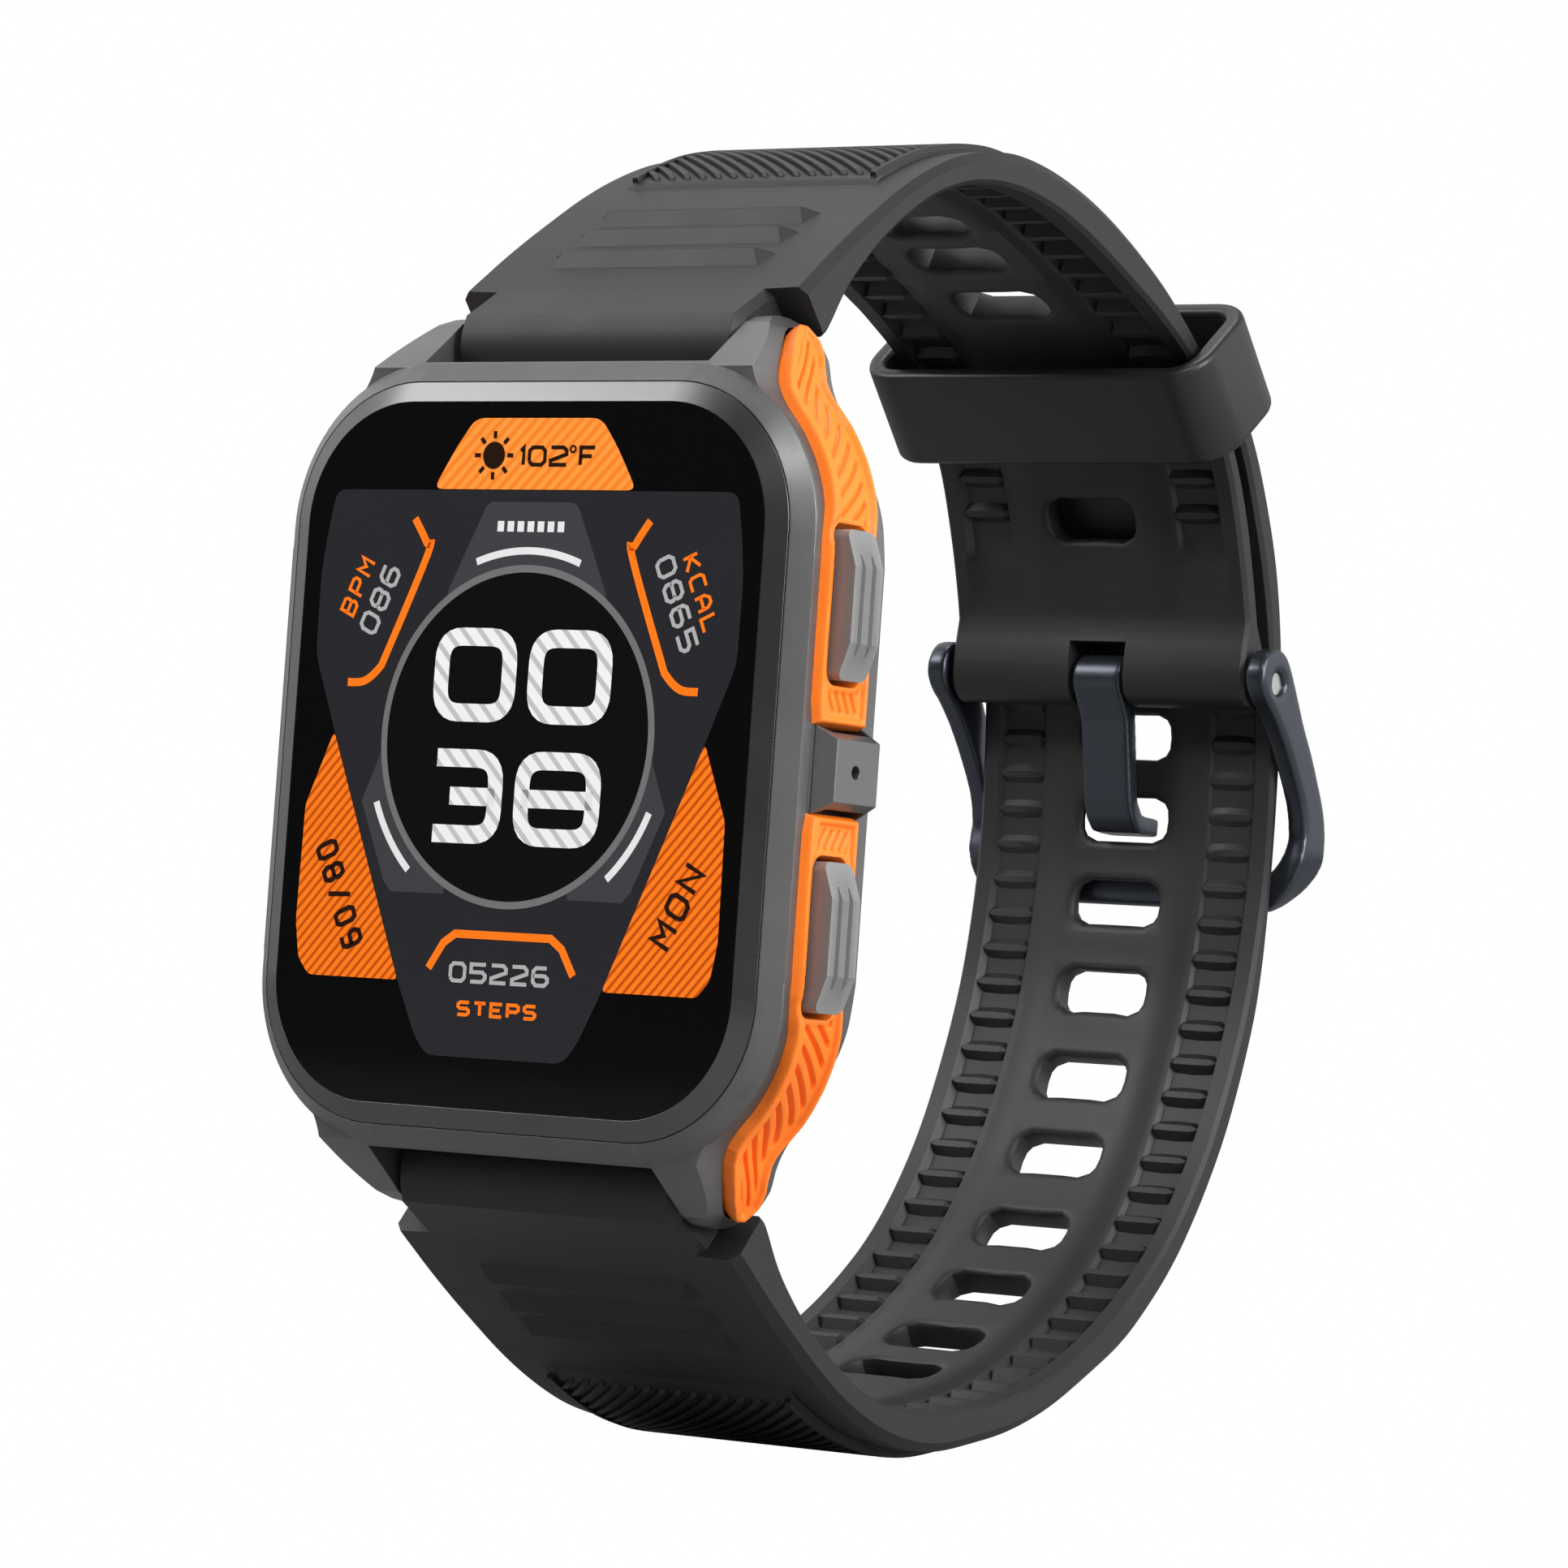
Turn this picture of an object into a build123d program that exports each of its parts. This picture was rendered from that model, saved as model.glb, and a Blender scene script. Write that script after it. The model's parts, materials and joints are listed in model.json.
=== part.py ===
"""GPS running watch: case, display stack, bumpers, buttons, two-piece rubber strap,
keeper, pin buckle and quick-release spring bars.

Frame, millimetres: origin at the centre of the outer face of the sensor window on
the case back, +Z towards the 12 o'clock end, +X towards the button side and -Y out
of the display. Depths written as d_* are measured from the seam plane between the
bezel and the case towards the wrist; Y() turns a depth into a frame coordinate.
"""

import os
from math import atan2, cos, degrees, hypot, pi, radians, sin

from build123d import *

# ------------------------------------------------------------------ dimensions
case_depth = 10.8          # bezel seam plane to sensor window face
seam_hx, seam_hz, seam_r = 19.0, 23.1, 9.0
seam_gap = 0.06
glass_hx, glass_hz, glass_r = 17.7, 21.8, 7.7
glass_rise = 0.65          # glass plane stands this far in front of the seam
glass_t = 1.1
bezel_depth = 1.5          # bezel seat below the seam plane
body_hx = 20.3             # case side wall
rim_flare = 1.22           # front rim flares outwards by this
rim_d = 1.05
rim_r = 10.4                # corner radius of the flared rim
cavity_hx, cavity_hz, cavity_r = 16.8, 20.4, 6.5
case_back_d = 8.4          # back joint face
cover_t = 1.4
window_r = 12.2
lug_gap = 22.1             # between lug faces
recess_hz = 24.54
lug_tip = 28.0            # half of lug-to-lug length
bar_z, bar_d = 25.7, 6.5   # spring bar axis
bar_r = 0.9
pin_r = 0.5
pin_run = 0.05
hub_r = 2.4
hub_clear = 0.25
knob_x = 7.0
release_travel = 1.4

trim_proud = 0.60          # bumper stands proud of the case wall
trim_sink = 1.15
left_proud = 0.2           # the left bumpers lie nearly flush
trim_floor = 0.5
trim_fit = 0.04

button_z = 10.0
button_len = 9.1
button_d0, button_d1 = 2.87, 5.79
button_top = 22.06
button_travel = 0.5
stem_r = 0.9
mic_r = 0.42

screw_r = 0.45
screw_at = [(15.5, 19.1), (-15.5, 19.1), (15.5, -19.1), (-15.5, -19.1)]

strap_hw = 12.0            # strap half width
ear_hw = 13.5              # ears beside the lug tips
slot_len, slot_w = 7.0, 3.1
buckle_d, buckle_z = 64.9, 10.5
buckle_pin_r = 0.75
frame_in, frame_out = 12.35, 13.9
tang_w = 3.9
tang_t = 1.1


def Y(d):
    return d - case_depth


# --------------------------------------------------------------------- helpers
def yz_solid(points, x0, x1, spline=False):
    """Closed profile given as (depth, z) points, extruded from x0 to x1."""
    pts = [Vector(0, Y(d), z) for d, z in points]
    wire = Polyline(*pts, close=True)
    face = make_face(wire)
    f = face.face() if hasattr(face, "face") else face
    solid = extrude(f, amount=x1 - x0, dir=(1, 0, 0))
    return Pos(x0, 0, 0) * solid


def xz_solid(face, d0, d1, taper=0.0):
    """Face drawn on XZ (as X, Z), extruded from depth d0 to depth d1."""
    plane = Plane(origin=(0, Y(d0), 0), x_dir=(1, 0, 0), z_dir=(0, -1, 0))
    return extrude(plane * face, amount=-(d1 - d0), taper=taper)


def rrect(hx, hz, r):
    return RectangleRounded(2 * hx, 2 * hz, r)


def xcyl(r, x0, x1, d, z):
    return Pos((x0 + x1) / 2, Y(d), z) * Rot(0, 90, 0) * Cylinder(r, abs(x1 - x0))


def ycyl(r, x, d0, d1, z):
    return Pos(x, Y((d0 + d1) / 2), z) * Rot(90, 0, 0) * Cylinder(r, abs(d1 - d0))


def box(x0, x1, d0, d1, z0, z1):
    return Pos((x0 + x1) / 2, Y((d0 + d1) / 2), (z0 + z1) / 2) * Box(
        abs(x1 - x0), abs(d1 - d0), abs(z1 - z0)
    )


def mirror_z(points):
    return [(a, -b) for a, b in points]


def catmull(points, n=5):
    """Smooth open polyline through points."""
    out = []
    for i in range(len(points) - 1):
        p0 = points[max(i - 1, 0)]
        p1, p2 = points[i], points[i + 1]
        p3 = points[min(i + 2, len(points) - 1)]
        for k in range(n):
            t = k / n
            out.append(
                tuple(
                    0.5
                    * (
                        2 * b
                        + (c - a) * t
                        + (2 * a - 5 * b + 4 * c - d) * t * t
                        + (3 * b - a - 3 * c + d) * t**3
                    )
                    for a, b, c, d in zip(p0, p1, p2, p3)
                )
            )
    out.append(points[-1])
    return out


def solids_of(shape):
    s = shape.solids()
    return s


parts = {}


def put(name, shape):
    parts[name] = shape


# --------------------------------------------------------- case outline (X, Z)
outline_q = [
    (body_hx, 0.0), (body_hx, 12.6), (20.15, 14.0), (19.9, 15.5), (19.35, 17.0), (18.5, 18.5),
    (17.8, 19.5), (17.05, 20.5), (16.25, 21.5), (15.5, 22.5), (14.95, 23.5), (14.6, 24.5),
    (14.2, 25.5), (13.6, 26.5), (12.9, 27.35), (12.1, lug_tip),
]


def plan_points(off=0.0):
    """Case plan outline, moved outwards by off along its own normal."""
    q = catmull(outline_q[1:], 4)
    q = [(body_hx, 0.0)] + q
    out = []
    for i, p in enumerate(q):
        a = q[max(i - 1, 0)]
        b = q[min(i + 1, len(q) - 1)]
        tx, tz = b[0] - a[0], b[1] - a[1]
        n = hypot(tx, tz)
        out.append((p[0] + tz / n * off, p[1] - tx / n * off))
    return out


def plan_face(off=0.0, gap=True):
    q = plan_points(off)
    top = q[-1][1]
    if gap:
        q = q + [(lug_gap / 2, top), (lug_gap / 2, recess_hz)]
    else:
        q = q + [(0.0, top)]
    right = [(x, -z) for x, z in reversed(q)] + q[1:]
    left = [(-x, z) for x, z in reversed(right)]
    pts = right + left
    clean = [pts[0]]
    for p in pts[1:]:
        if hypot(p[0] - clean[-1][0], p[1] - clean[-1][1]) > 1e-6:
            clean.append(p)
    if hypot(clean[0][0] - clean[-1][0], clean[0][1] - clean[-1][1]) < 1e-6:
        clean.pop()
    return make_face(Polyline(*clean, close=True))


# side profile (depth, Z) of the case, upper half
side_up = [
    (rim_d, 0.0), (rim_d, 24.2), (1.8, 24.8), (3.9, 26.5), (4.9, 27.35),
    (5.9, 27.8), (7.0, lug_tip), (8.0, 27.95), (8.9, 27.5), (9.45, 26.6), (9.55, 25.5),
    (9.3, 24.3), (9.3, 22.4), (9.35, 21.2), (9.1, 19.8), (8.8, 18.6), (case_back_d, 17.4), (case_back_d, 0.0),
]
side_all = side_up[1:-1] + [(d, -z) for d, z in reversed(side_up[1:-1])]

# -------------------------------------------------------------------- mid case
mid = xz_solid(plan_face(0.0), rim_d, 9.8) & yz_solid(side_all, -24, 24)



def front_face(hx, hz, r, d):
    return Plane(origin=(0, Y(d), 0), x_dir=(1, 0, 0), z_dir=(0, -1, 0)) * rrect(hx, hz, r)


rim = loft([front_face(seam_hx + 0.05, seam_hz + 0.05, seam_r + 0.05, 0.0),
            front_face(seam_hx + 0.05 + rim_flare, seam_hz + 0.05 + rim_flare, rim_r, rim_d)],
           ruled=True)
rim += xz_solid(rrect(seam_hx + 0.05 + rim_flare, seam_hz + 0.05 + rim_flare, rim_r), rim_d, rim_d + 0.3)
mid = mid + rim
mid -= xz_solid(rrect(seam_hx + seam_gap, seam_hz + seam_gap, seam_r + seam_gap), -1.0, bezel_depth)
mid -= xz_solid(rrect(cavity_hx, cavity_hz, cavity_r), 0.0, 12.0)
for s in (1, -1):
    mid -= xcyl(hub_r + hub_clear, -lug_gap / 2, lug_gap / 2, bar_d, s * bar_z)
    mid -= box(-lug_gap / 2, lug_gap / 2, bar_d, 12, s * (bar_z - hub_r - hub_clear), s * 30)
    for x in (-1, 1):
        mid -= xcyl(pin_r + pin_run, x * 10, x * 12.75, bar_d, s * bar_z)

# side blocks between the bumpers, one bored for the microphone
block_plan = make_face(Polyline((19.6, -3.2), (21.7, -1.9), (21.7, 1.9), (19.6, 3.2), close=True))
block = xz_solid(block_plan, 2.2, 7.2)
block -= yz_solid([(1.0, -5), (1.0, 5), (2.21, 5), (2.21, -5)], 18, 24)
block = block & xz_solid(make_face(Polyline((15, -6), (24, -6), (24, 6), (15, 6), close=True)), 2.2, 7.2)
wedge = make_face(Polyline((20.25, Y(2.1)), (21.75, Y(2.85)), (22.5, Y(2.85)), (22.5, Y(1.5)), (20.25, Y(1.5)), close=True))
block -= Pos(0, 0, -6) * extrude(wedge, amount=12)
for sx in (1, -1):
    mid += block if sx == 1 else mirror(block, Plane.YZ)
mid -= xcyl(mic_r, 15.5, 23, 4.86, 0)

# bumper side outlines (depth, Z), upper one; the lower one is its mirror
trim_up = catmull([
    (1.75, 3.9), (1.75, 8.0), (1.75, 12.0), (1.85, 13.6), (2.15, 15.0), (2.5, 16.0), (2.75, 17.0), (3.05, 18.0),
    (3.3, 19.0), (3.5, 20.0), (3.55, 21.0), (3.4, 22.0), (3.45, 23.0), (3.7, 24.0), (4.25, 25.0),
    (5.1, 26.0), (6.1, 26.85), (7.2, 27.25), (8.2, 27.05), (8.75, 26.3), (8.65, 25.5), (8.35, 24.7),
    (8.2, 23.8), (8.3, 23.0), (8.6, 22.0), (8.75, 21.0), (8.6, 20.0), (8.35, 19.0), (8.05, 18.0),
    (7.75, 17.0), (7.5, 16.0), (7.2, 15.0), (7.0, 14.0), (7.0, 10.0), (7.0, 2.35),
], 4)
trim_up = trim_up + [(3.2, 2.35), (2.3, 2.75), (1.9, 3.3)]


def grow(points, off):
    """Move a closed outline outwards (positive) by off."""
    n = len(points)
    area = sum(points[i][0] * points[(i + 1) % n][1] - points[(i + 1) % n][0] * points[i][1] for i in range(n))
    sgn = 1 if area > 0 else -1
    out = []
    for i in range(n):
        a, p, b = points[i - 1], points[i], points[(i + 1) % n]
        n1 = (p[1] - a[1], a[0] - p[0])
        n2 = (b[1] - p[1], p[0] - b[0])
        l1, l2 = hypot(*n1), hypot(*n2)
        nx, ny = n1[0] / l1 + n2[0] / l2, n1[1] / l1 + n2[1] / l2
        ln = hypot(nx, ny)
        k = off * sgn / max(0.6, ln / 2)
        out.append((p[0] + nx / ln * k, p[1] + ny / ln * k))
    return out


shell_out = xz_solid(plan_face(trim_proud, gap=False), 0.5, 9.8)
shell_in = xz_solid(plan_face(-trim_sink, gap=False), 0.4, 9.9)
shell_pocket = xz_solid(plan_face(-trim_sink - trim_fit, gap=False), 0.4, 9.9)
shell_floor = xz_solid(plan_face(trim_proud - trim_floor, gap=False), 0.4, 9.9)
cover_room = xz_solid(rrect(18.95, 22.05, 7.55), case_back_d, 12.0)
trim_bulk = (yz_solid(trim_up, lug_gap / 2 + 0.6, 24) & shell_out) - shell_in - cover_room
trim_room = (yz_solid(grow(trim_up, trim_fit), lug_gap / 2 + 0.55, 26)) - shell_pocket
pan_line = [(2.65, 4.1), (2.65, 12.6), (2.85, 14.2), (3.3, 15.8), (3.8, 17.6), (4.3, 19.4), (4.5, 21.0), (4.45, 22.4),
     (4.6, 23.6), (5.1, 24.6), (5.9, 25.5), (6.8, 26.05), (7.5, 25.9), (7.6, 25.2), (7.3, 24.4), (7.2, 23.4), (7.4, 22.4),
     (7.6, 21.2), (7.45, 19.9), (7.1, 18.4), (6.6, 16.8), (6.2, 15.2), (6.1, 14.0), (6.1, 3.4), (3.4, 3.4)]
trim_pan = yz_solid(pan_line, 10, 26) - shell_floor
button_room = Pos(0, Y((button_d0 + button_d1) / 2), button_z) * Rot(0, 90, 0) * extrude(
    RectangleRounded(button_len + 0.36, button_d1 - button_d0 + 0.36, 0.75), amount=26)
button_room -= Box(2 * 18.6, 60, 60)
trim = trim_bulk - trim_pan - button_room
ribs = None
for k in range(17):
    zc = 4.0 + k * 1.35
    bar = yz_solid([(2.5, zc - 1.3), (7.8, zc + 1.9), (7.8, zc + 2.4), (2.5, zc - 0.8)], 10, 26)
    ribs = bar if ribs is None else ribs + bar
rib_band = (ribs & trim_pan & xz_solid(plan_face(trim_proud - 0.18, gap=False), 0.5, 9.8))
rib_band -= button_room
trim = trim + rib_band
trim = [s for s in solids_of(trim) if s.volume > 1][0]
left_out = xz_solid(plan_face(left_proud, gap=False), 0.5, 9.8)
left_pan = yz_solid(pan_line, 10, 26) - xz_solid(plan_face(left_proud - trim_floor, gap=False), 0.4, 9.9)
left_trim_bulk = (yz_solid(trim_up, lug_gap / 2 + 0.6, 24) & left_out) - shell_in - cover_room - left_pan
left_rib = ribs & left_pan & xz_solid(plan_face(left_proud - 0.18, gap=False), 0.5, 9.8)
left_trim = [s for s in solids_of(left_trim_bulk + left_rib) if s.volume > 1][0]

mid -= trim_room
mid -= mirror(trim_room, Plane.XY)
mid -= mirror(trim_room, Plane.YZ)
mid -= mirror(mirror(trim_room, Plane.XY), Plane.YZ)
for s in (1, -1):
    room = button_room if s == 1 else mirror(button_room, Plane.XY)
    mid -= room
    mid -= xcyl(stem_r + pin_run, 15, 20, (button_d0 + button_d1) / 2, s * button_z)
    # seat for the O-ring
    mid -= xcyl(1.5, 17.9, 19, (button_d0 + button_d1) / 2, s * button_z)
mid -= cover_room
for x, z in screw_at:
    mid -= ycyl(screw_r, x, 5.2, 12.0, z)
mid = max(solids_of(mid), key=lambda s: s.volume)
put("mid_case", mid)
put("right_upper_bumper", trim)
put("right_lower_bumper", mirror(trim, Plane.XY))
put("left_upper_bumper", mirror(left_trim, Plane.YZ))
put("left_lower_bumper", mirror(mirror(left_trim, Plane.YZ), Plane.XY))

# --------------------------------------------------------------- display stack
bezel = xz_solid(rrect(seam_hx, seam_hz, seam_r), 0.0, bezel_depth - 0.3)
crown = xz_solid(rrect(seam_hx, seam_hz, seam_r), 0.0, -glass_rise, taper=0)
crown = extrude(
    Plane(origin=(0, Y(0), 0), x_dir=(1, 0, 0), z_dir=(0, -1, 0)) * rrect(seam_hx, seam_hz, seam_r),
    amount=glass_rise, taper=degrees(atan2(seam_hx - glass_hx, glass_rise)))
bezel = bezel + crown
bezel -= xz_solid(rrect(glass_hx, glass_hz, glass_r), -2.0, glass_t - glass_rise)
bezel -= xz_solid(rrect(16.4, 20.3, 6.4), -2.0, 3.0)
put("bezel_ring", bezel)
put("crystal_glass", xz_solid(rrect(glass_hx - 0.02, glass_hz - 0.02, glass_r - 0.02), -glass_rise, glass_t - glass_rise - 0.02))
put("display_panel", xz_solid(rrect(16.2, 20.1, 6.2), glass_t - glass_rise, 1.9))
gasket = xz_solid(rrect(18.4, 22.5, 8.4), bezel_depth - 0.28, bezel_depth) - xz_solid(rrect(17.4, 21.5, 7.4), 0, 3)
put("bezel_gasket", gasket)

# ----------------------------------------------------------------- electronics
chassis = xz_solid(rrect(15.0, 19.4, 5.5), 2.1, 6.6) - xz_solid(rrect(13.6, 18.0, 4.6), 2.7, 7.0)
chassis -= box(13, 17, 3.0, 7.0, 7.5, 12.5)
chassis -= box(13, 17, 3.0, 7.0, -12.5, -7.5)
chassis -= box(13, 17, 3.6, 7.0, -2.2, 2.2)
put("inner_chassis", chassis)
put("main_board", xz_solid(rrect(13.2, 17.6, 4.2), 2.8, 3.6)
    + box(-11, -3, 3.5, 4.7, 2, 9) + box(-1.5, 4.5, 3.5, 4.5, 3, 9))
put("battery", box(-11.5, 6.2, 3.7, 6.9, -14.5, 1.0))
put("gps_antenna", box(-6, 6, 3.7, 5.6, 10.2, 16.6))
put("vibration_motor", ycyl(2.6, 9.0, 3.7, 6.3, -13.2))
put("speaker", box(7.4, 13.0, 3.7, 6.0, -7.9, -2.3))
put("microphone", box(14.2, 16.7, 4.2, 5.6, -1.4, 1.4))
for s, n in ((1, "upper"), (-1, "lower")):
    dc = (button_d0 + button_d1) / 2
    put(n + "_switch", box(11.6, 14.3, dc - 0.7, dc + 1.6, s * button_z - 1.8, s * button_z + 1.8)
        + xcyl(0.7, 14.2, 14.9, dc, s * button_z))
    # --------------------------------------------------------------- buttons
    hl = button_len / 2
    cap = Pos(0, Y(dc), s * button_z) * Rot(0, 90, 0) * extrude(
        RectangleRounded(button_len, button_d1 - button_d0, 0.6), amount=button_top)
    cap -= Box(2 * 19.3, 60, 60)
    zc = s * button_z
    prof = [(18, zc - hl - 1), (21.05, zc - hl - 1), (21.25, zc - hl), (button_top, zc - 2.3), (button_top, zc + 2.3),
            (21.25, zc + hl), (21.05, zc + hl + 1), (18, zc + hl + 1)]
    cap = cap & xz_solid(make_face(Polyline(*prof, close=True)), 0, 9)
    for off in (-0.55, 0.55):
        g = make_face(Polyline((button_top + 0.1, Y(dc + off - 0.27)), (button_top - 0.42, Y(dc + off)),
                               (button_top + 0.1, Y(dc + off + 0.27)), close=True))
        cap -= Pos(0, 0, zc - 3.05) * extrude(g, amount=6.1)
    cap = chamfer(cap.faces().sort_by(Axis.X)[-1].edges().filter_by(Axis.Z).sort_by(Axis.Y)[-1:], 0.3) if False else cap
    cap += xcyl(stem_r, 15.5, 19.4, dc, zc)
    cap -= Pos(16.35, Y(dc), zc) * Rot(0, 90, 0) * (Cylinder(1.2, 0.5) - Cylinder(0.65, 0.6))
    cap = max(solids_of(cap), key=lambda q: q.volume)
    put(n + "_button", cap)
    put(n + "_button_clip", Pos(16.35, Y(dc), zc) * Rot(0, 90, 0) * (Cylinder(1.5, 0.4) - Cylinder(0.65, 0.6)))
    put(n + "_button_seal", xcyl(1.48, 17.92, 18.55, dc, zc) - xcyl(stem_r + 0.03, 17, 19, dc, zc))

# ------------------------------------------------------------------- case back
cover = xz_solid(rrect(18.9, 22.0, 7.5), case_back_d + 0.02, case_back_d + 0.62)
plane_c = Plane(origin=(0, Y(case_back_d + 0.62), 0), x_dir=(1, 0, 0), z_dir=(0, -1, 0))
cover += extrude(plane_c * rrect(18.9, 22.0, 7.5), amount=-(cover_t - 0.62), taper=58)
cover += xz_solid(rrect(cavity_hx - 0.15, cavity_hz - 0.15, cavity_r - 0.15), case_back_d - 0.9, case_back_d + 0.1)
cover -= xz_solid(rrect(cavity_hx - 1.2, cavity_hz - 1.2, cavity_r - 1.2), case_back_d - 1.5, case_back_d - 0.2)
cover -= xz_solid(rrect(cavity_hx + 1, cavity_hz + 1, 7) , case_back_d - 0.7, case_back_d - 0.25) - xz_solid(
    rrect(cavity_hx - 0.75, cavity_hz - 0.75, cavity_r - 0.75), 0, 12)
cover += ycyl(window_r + 1.2, 0, case_back_d + 0.1, case_depth - 0.35, 0)
cover -= ycyl(window_r + 0.03, 0, case_depth - 1.0, case_depth + 1, 0)
screws = None
for x, z in screw_at:
    cover -= ycyl(1.05, x, case_back_d + 0.45, case_depth, z)
    cover -= ycyl(0.5, x, case_back_d - 2, case_depth, z)
for x in (-2.4, 2.4):
    cover -= ycyl(0.95, x, case_back_d - 2, case_depth, -16.6)
contacts = None
for x in (-2.4, 2.4):
    c = ycyl(0.93, x, case_back_d - 0.6, case_depth - 0.72, -16.6)
    contacts = c if contacts is None else contacts + c
put("charging_contacts", contacts)
put("back_cover", max(solids_of(cover), key=lambda q: q.volume))
put("sensor_window", ycyl(window_r, 0, case_depth - 0.98, case_depth, 0))
put("optical_sensor_board", ycyl(7.0, 0, 7.0, 7.8, 0) + box(-2.2, 2.2, 7.7, 8.15, -2.2, 2.2))
seal = xz_solid(rrect(cavity_hx - 0.03, cavity_hz - 0.03, cavity_r - 0.03), case_back_d - 0.68, case_back_d - 0.27) - xz_solid(
    rrect(cavity_hx - 0.72, cavity_hz - 0.72, cavity_r - 0.72), 0, 12)
put("back_gasket", seal)

for x, z in screw_at:
    s = ycyl(1.0, x, case_back_d + 0.46, case_back_d + 0.95, z) + ycyl(screw_r, x, 5.4, case_back_d + 0.5, z)
    s -= Pos(x, Y(case_back_d + 0.95), z) * Rot(90, 0, 0) * (Box(1.1, 0.26, 0.5) + Box(0.26, 1.1, 0.5))
    screws = s if screws is None else screws + s
put("back_screws", screws)

# ----------------------------------------------------------- straps (depth, Z)
# outer line of the strap's middle panel, from the hub towards the overlap
top_outer = [(4.15, 26.5), (4.6, 27.9), (6.0, 28.8), (7.6, 29.85), (9.0, 30.95), (10.66, 32.25), (12.7, 33.75), (14.8, 35.2),
             (18.0, 37.3), (21.1, 39.0), (24.4, 40.4), (27.4, 41.2), (30.0, 41.6), (32.5, 41.7),
             (36.0, 41.35), (39.8, 40.5), (43.7, 39.2), (47.7, 37.4), (51.8, 35.1), (55.4, 32.3),
             (58.5, 28.9), (61.0, 25.2), (62.9, 21.2), (64.2, 17.2), (65.0, 14.4)]
top_inner = [(63.4, 14.4), (62.8, 16.6), (61.6, 20.2), (59.8, 24.4), (57.2, 28.2), (54.0, 31.3),
             (49.8, 33.7), (47.6, 34.7), (43.6, 36.4), (39.5, 37.9), (35.4, 38.95), (31.3, 39.4),
             (27.2, 39.15), (23.1, 38.05), (19.6, 36.3), (15.9, 33.7), (12.6, 30.5), (10.6, 27.6), (9.9, 26.2), (8.9, 24.7)]
bot_outer = [(4.15, -26.5), (4.6, -27.9), (6.0, -28.8), (7.6, -29.85), (9.0, -30.95), (10.66, -32.25), (12.7, -33.75), (14.8, -35.2),
             (18.0, -37.3), (21.1, -39.0), (24.4, -40.4), (27.4, -41.2), (30.0, -41.6), (33.0, -41.65),
             (36.6, -41.2), (41.1, -40.4), (45.7, -38.95), (50.2, -36.8), (54.5, -34.4), (57.8, -31.65), (60.3, -28.9),
             (62.25, -26.1), (63.9, -23.3), (65.35, -20.45), (66.45, -17.65), (67.35, -14.85), (68.1, -12.0),
             (68.48, -9.15), (68.66, -6.3), (68.75, -2.0), (68.78, 3.0), (68.65, 9.0),
             (68.1, 14.0), (67.05, 18.6), (65.35, 22.8), (63.1, 26.8), (60.2, 30.46), (58.65, 32.17)]
bot_inner = [(57.44, 31.12), (58.99, 29.42), (61.6, 25.9), (63.6, 22.0), (65.3, 17.9), (66.6, 13.5), (67.4, 9.0),
             (67.85, 4.0), (67.95, -0.5), (67.6, -5.0), (66.6, -11.0), (64.7, -17.0), (62.2, -22.5),
             (58.6, -27.7), (54.3, -31.7), (49.3, -35.0), (44.2, -37.2), (39.5, -38.35), (35.4, -38.95),
             (31.3, -39.2), (27.2, -38.85), (23.1, -37.75), (19.4, -35.8), (15.9, -33.4), (12.6, -30.3), (10.6, -27.5), (9.9, -26.2), (8.9, -24.7)]


# half width of the strap against depth: widest beside the lugs
width_line = [(0.0, 13.45), (8.0, 13.45), (14.0, 13.15), (21.0, 12.85), (30.0, 12.5), (45.0, 12.15), (58.0, 12.0), (80.0, 12.0)]


def width_body():
    pts = [(w, Y(d)) for d, w in width_line] + [(-w, Y(d)) for d, w in reversed(width_line)]
    return Pos(0, 0, -60) * extrude(make_face(Polyline(*pts, close=True)), amount=120)


def strap_body(outer, inner, sgn):
    pts = catmull(outer, 3) + catmull(inner, 3)
    body = yz_solid(pts, -ear_hw, ear_hw) & width_body()
    gap = lug_gap / 2 - 0.1
    # beside the lug tips the strap is cut back to the lug gap
    notch = yz_solid([(0, sgn * 20), (0, sgn * 29.8), (7.55, sgn * 29.8), (8.75, sgn * 28.1), (9.8, sgn * 26.7), (10.3, sgn * 25.2), (10.3, sgn * 20)], gap, 16)
    body -= notch
    body -= mirror(notch, Plane.YZ)
    body += xcyl(hub_r, -gap, gap, bar_d, sgn * bar_z)
    body -= xcyl(bar_r, -20, 20, bar_d, sgn * bar_z)
    # access slot for the quick-release knob, on the wrist side
    body -= box(knob_x - release_travel - 0.8, knob_x + 0.8, bar_d, 13, sgn * bar_z - 0.8, sgn * bar_z + 0.8)
    return body


def slot_at(d, z, nd, nz):
    """Through slot: stadium with its long side along X, cut along (nd, nz)."""
    n = hypot(nd, nz)
    pl = Plane(origin=(0, Y(d), z), x_dir=(1, 0, 0), z_dir=(0, nd / n, nz / n))
    return extrude(pl * SlotOverall(slot_len, slot_w), amount=4.0, both=True)


hole_slots = [(67.6, 6.6, 1, 0.05), (68.0, 0.83, 1, 0.0), (67.56, -4.96, 1, -0.12), (66.56, -10.99, 1, -0.25),
              (64.73, -16.91, 1, -0.38), (62.28, -22.59, 1, -0.55), (58.89, -27.68, 1, -0.8),
              (54.66, -31.9, 1, -1.2), (49.52, -35.24, 0.6, -1.2), (44.54, -37.45, 0.35, -1.2)]
top_slots = [(61.27, 21.09, 1, 0.45), (48.94, 34.46, 0.55, 1.0), (43.55, 37.12, 0.4, 1.0), (39.0, 38.6, 0.3, 1.0)]

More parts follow.
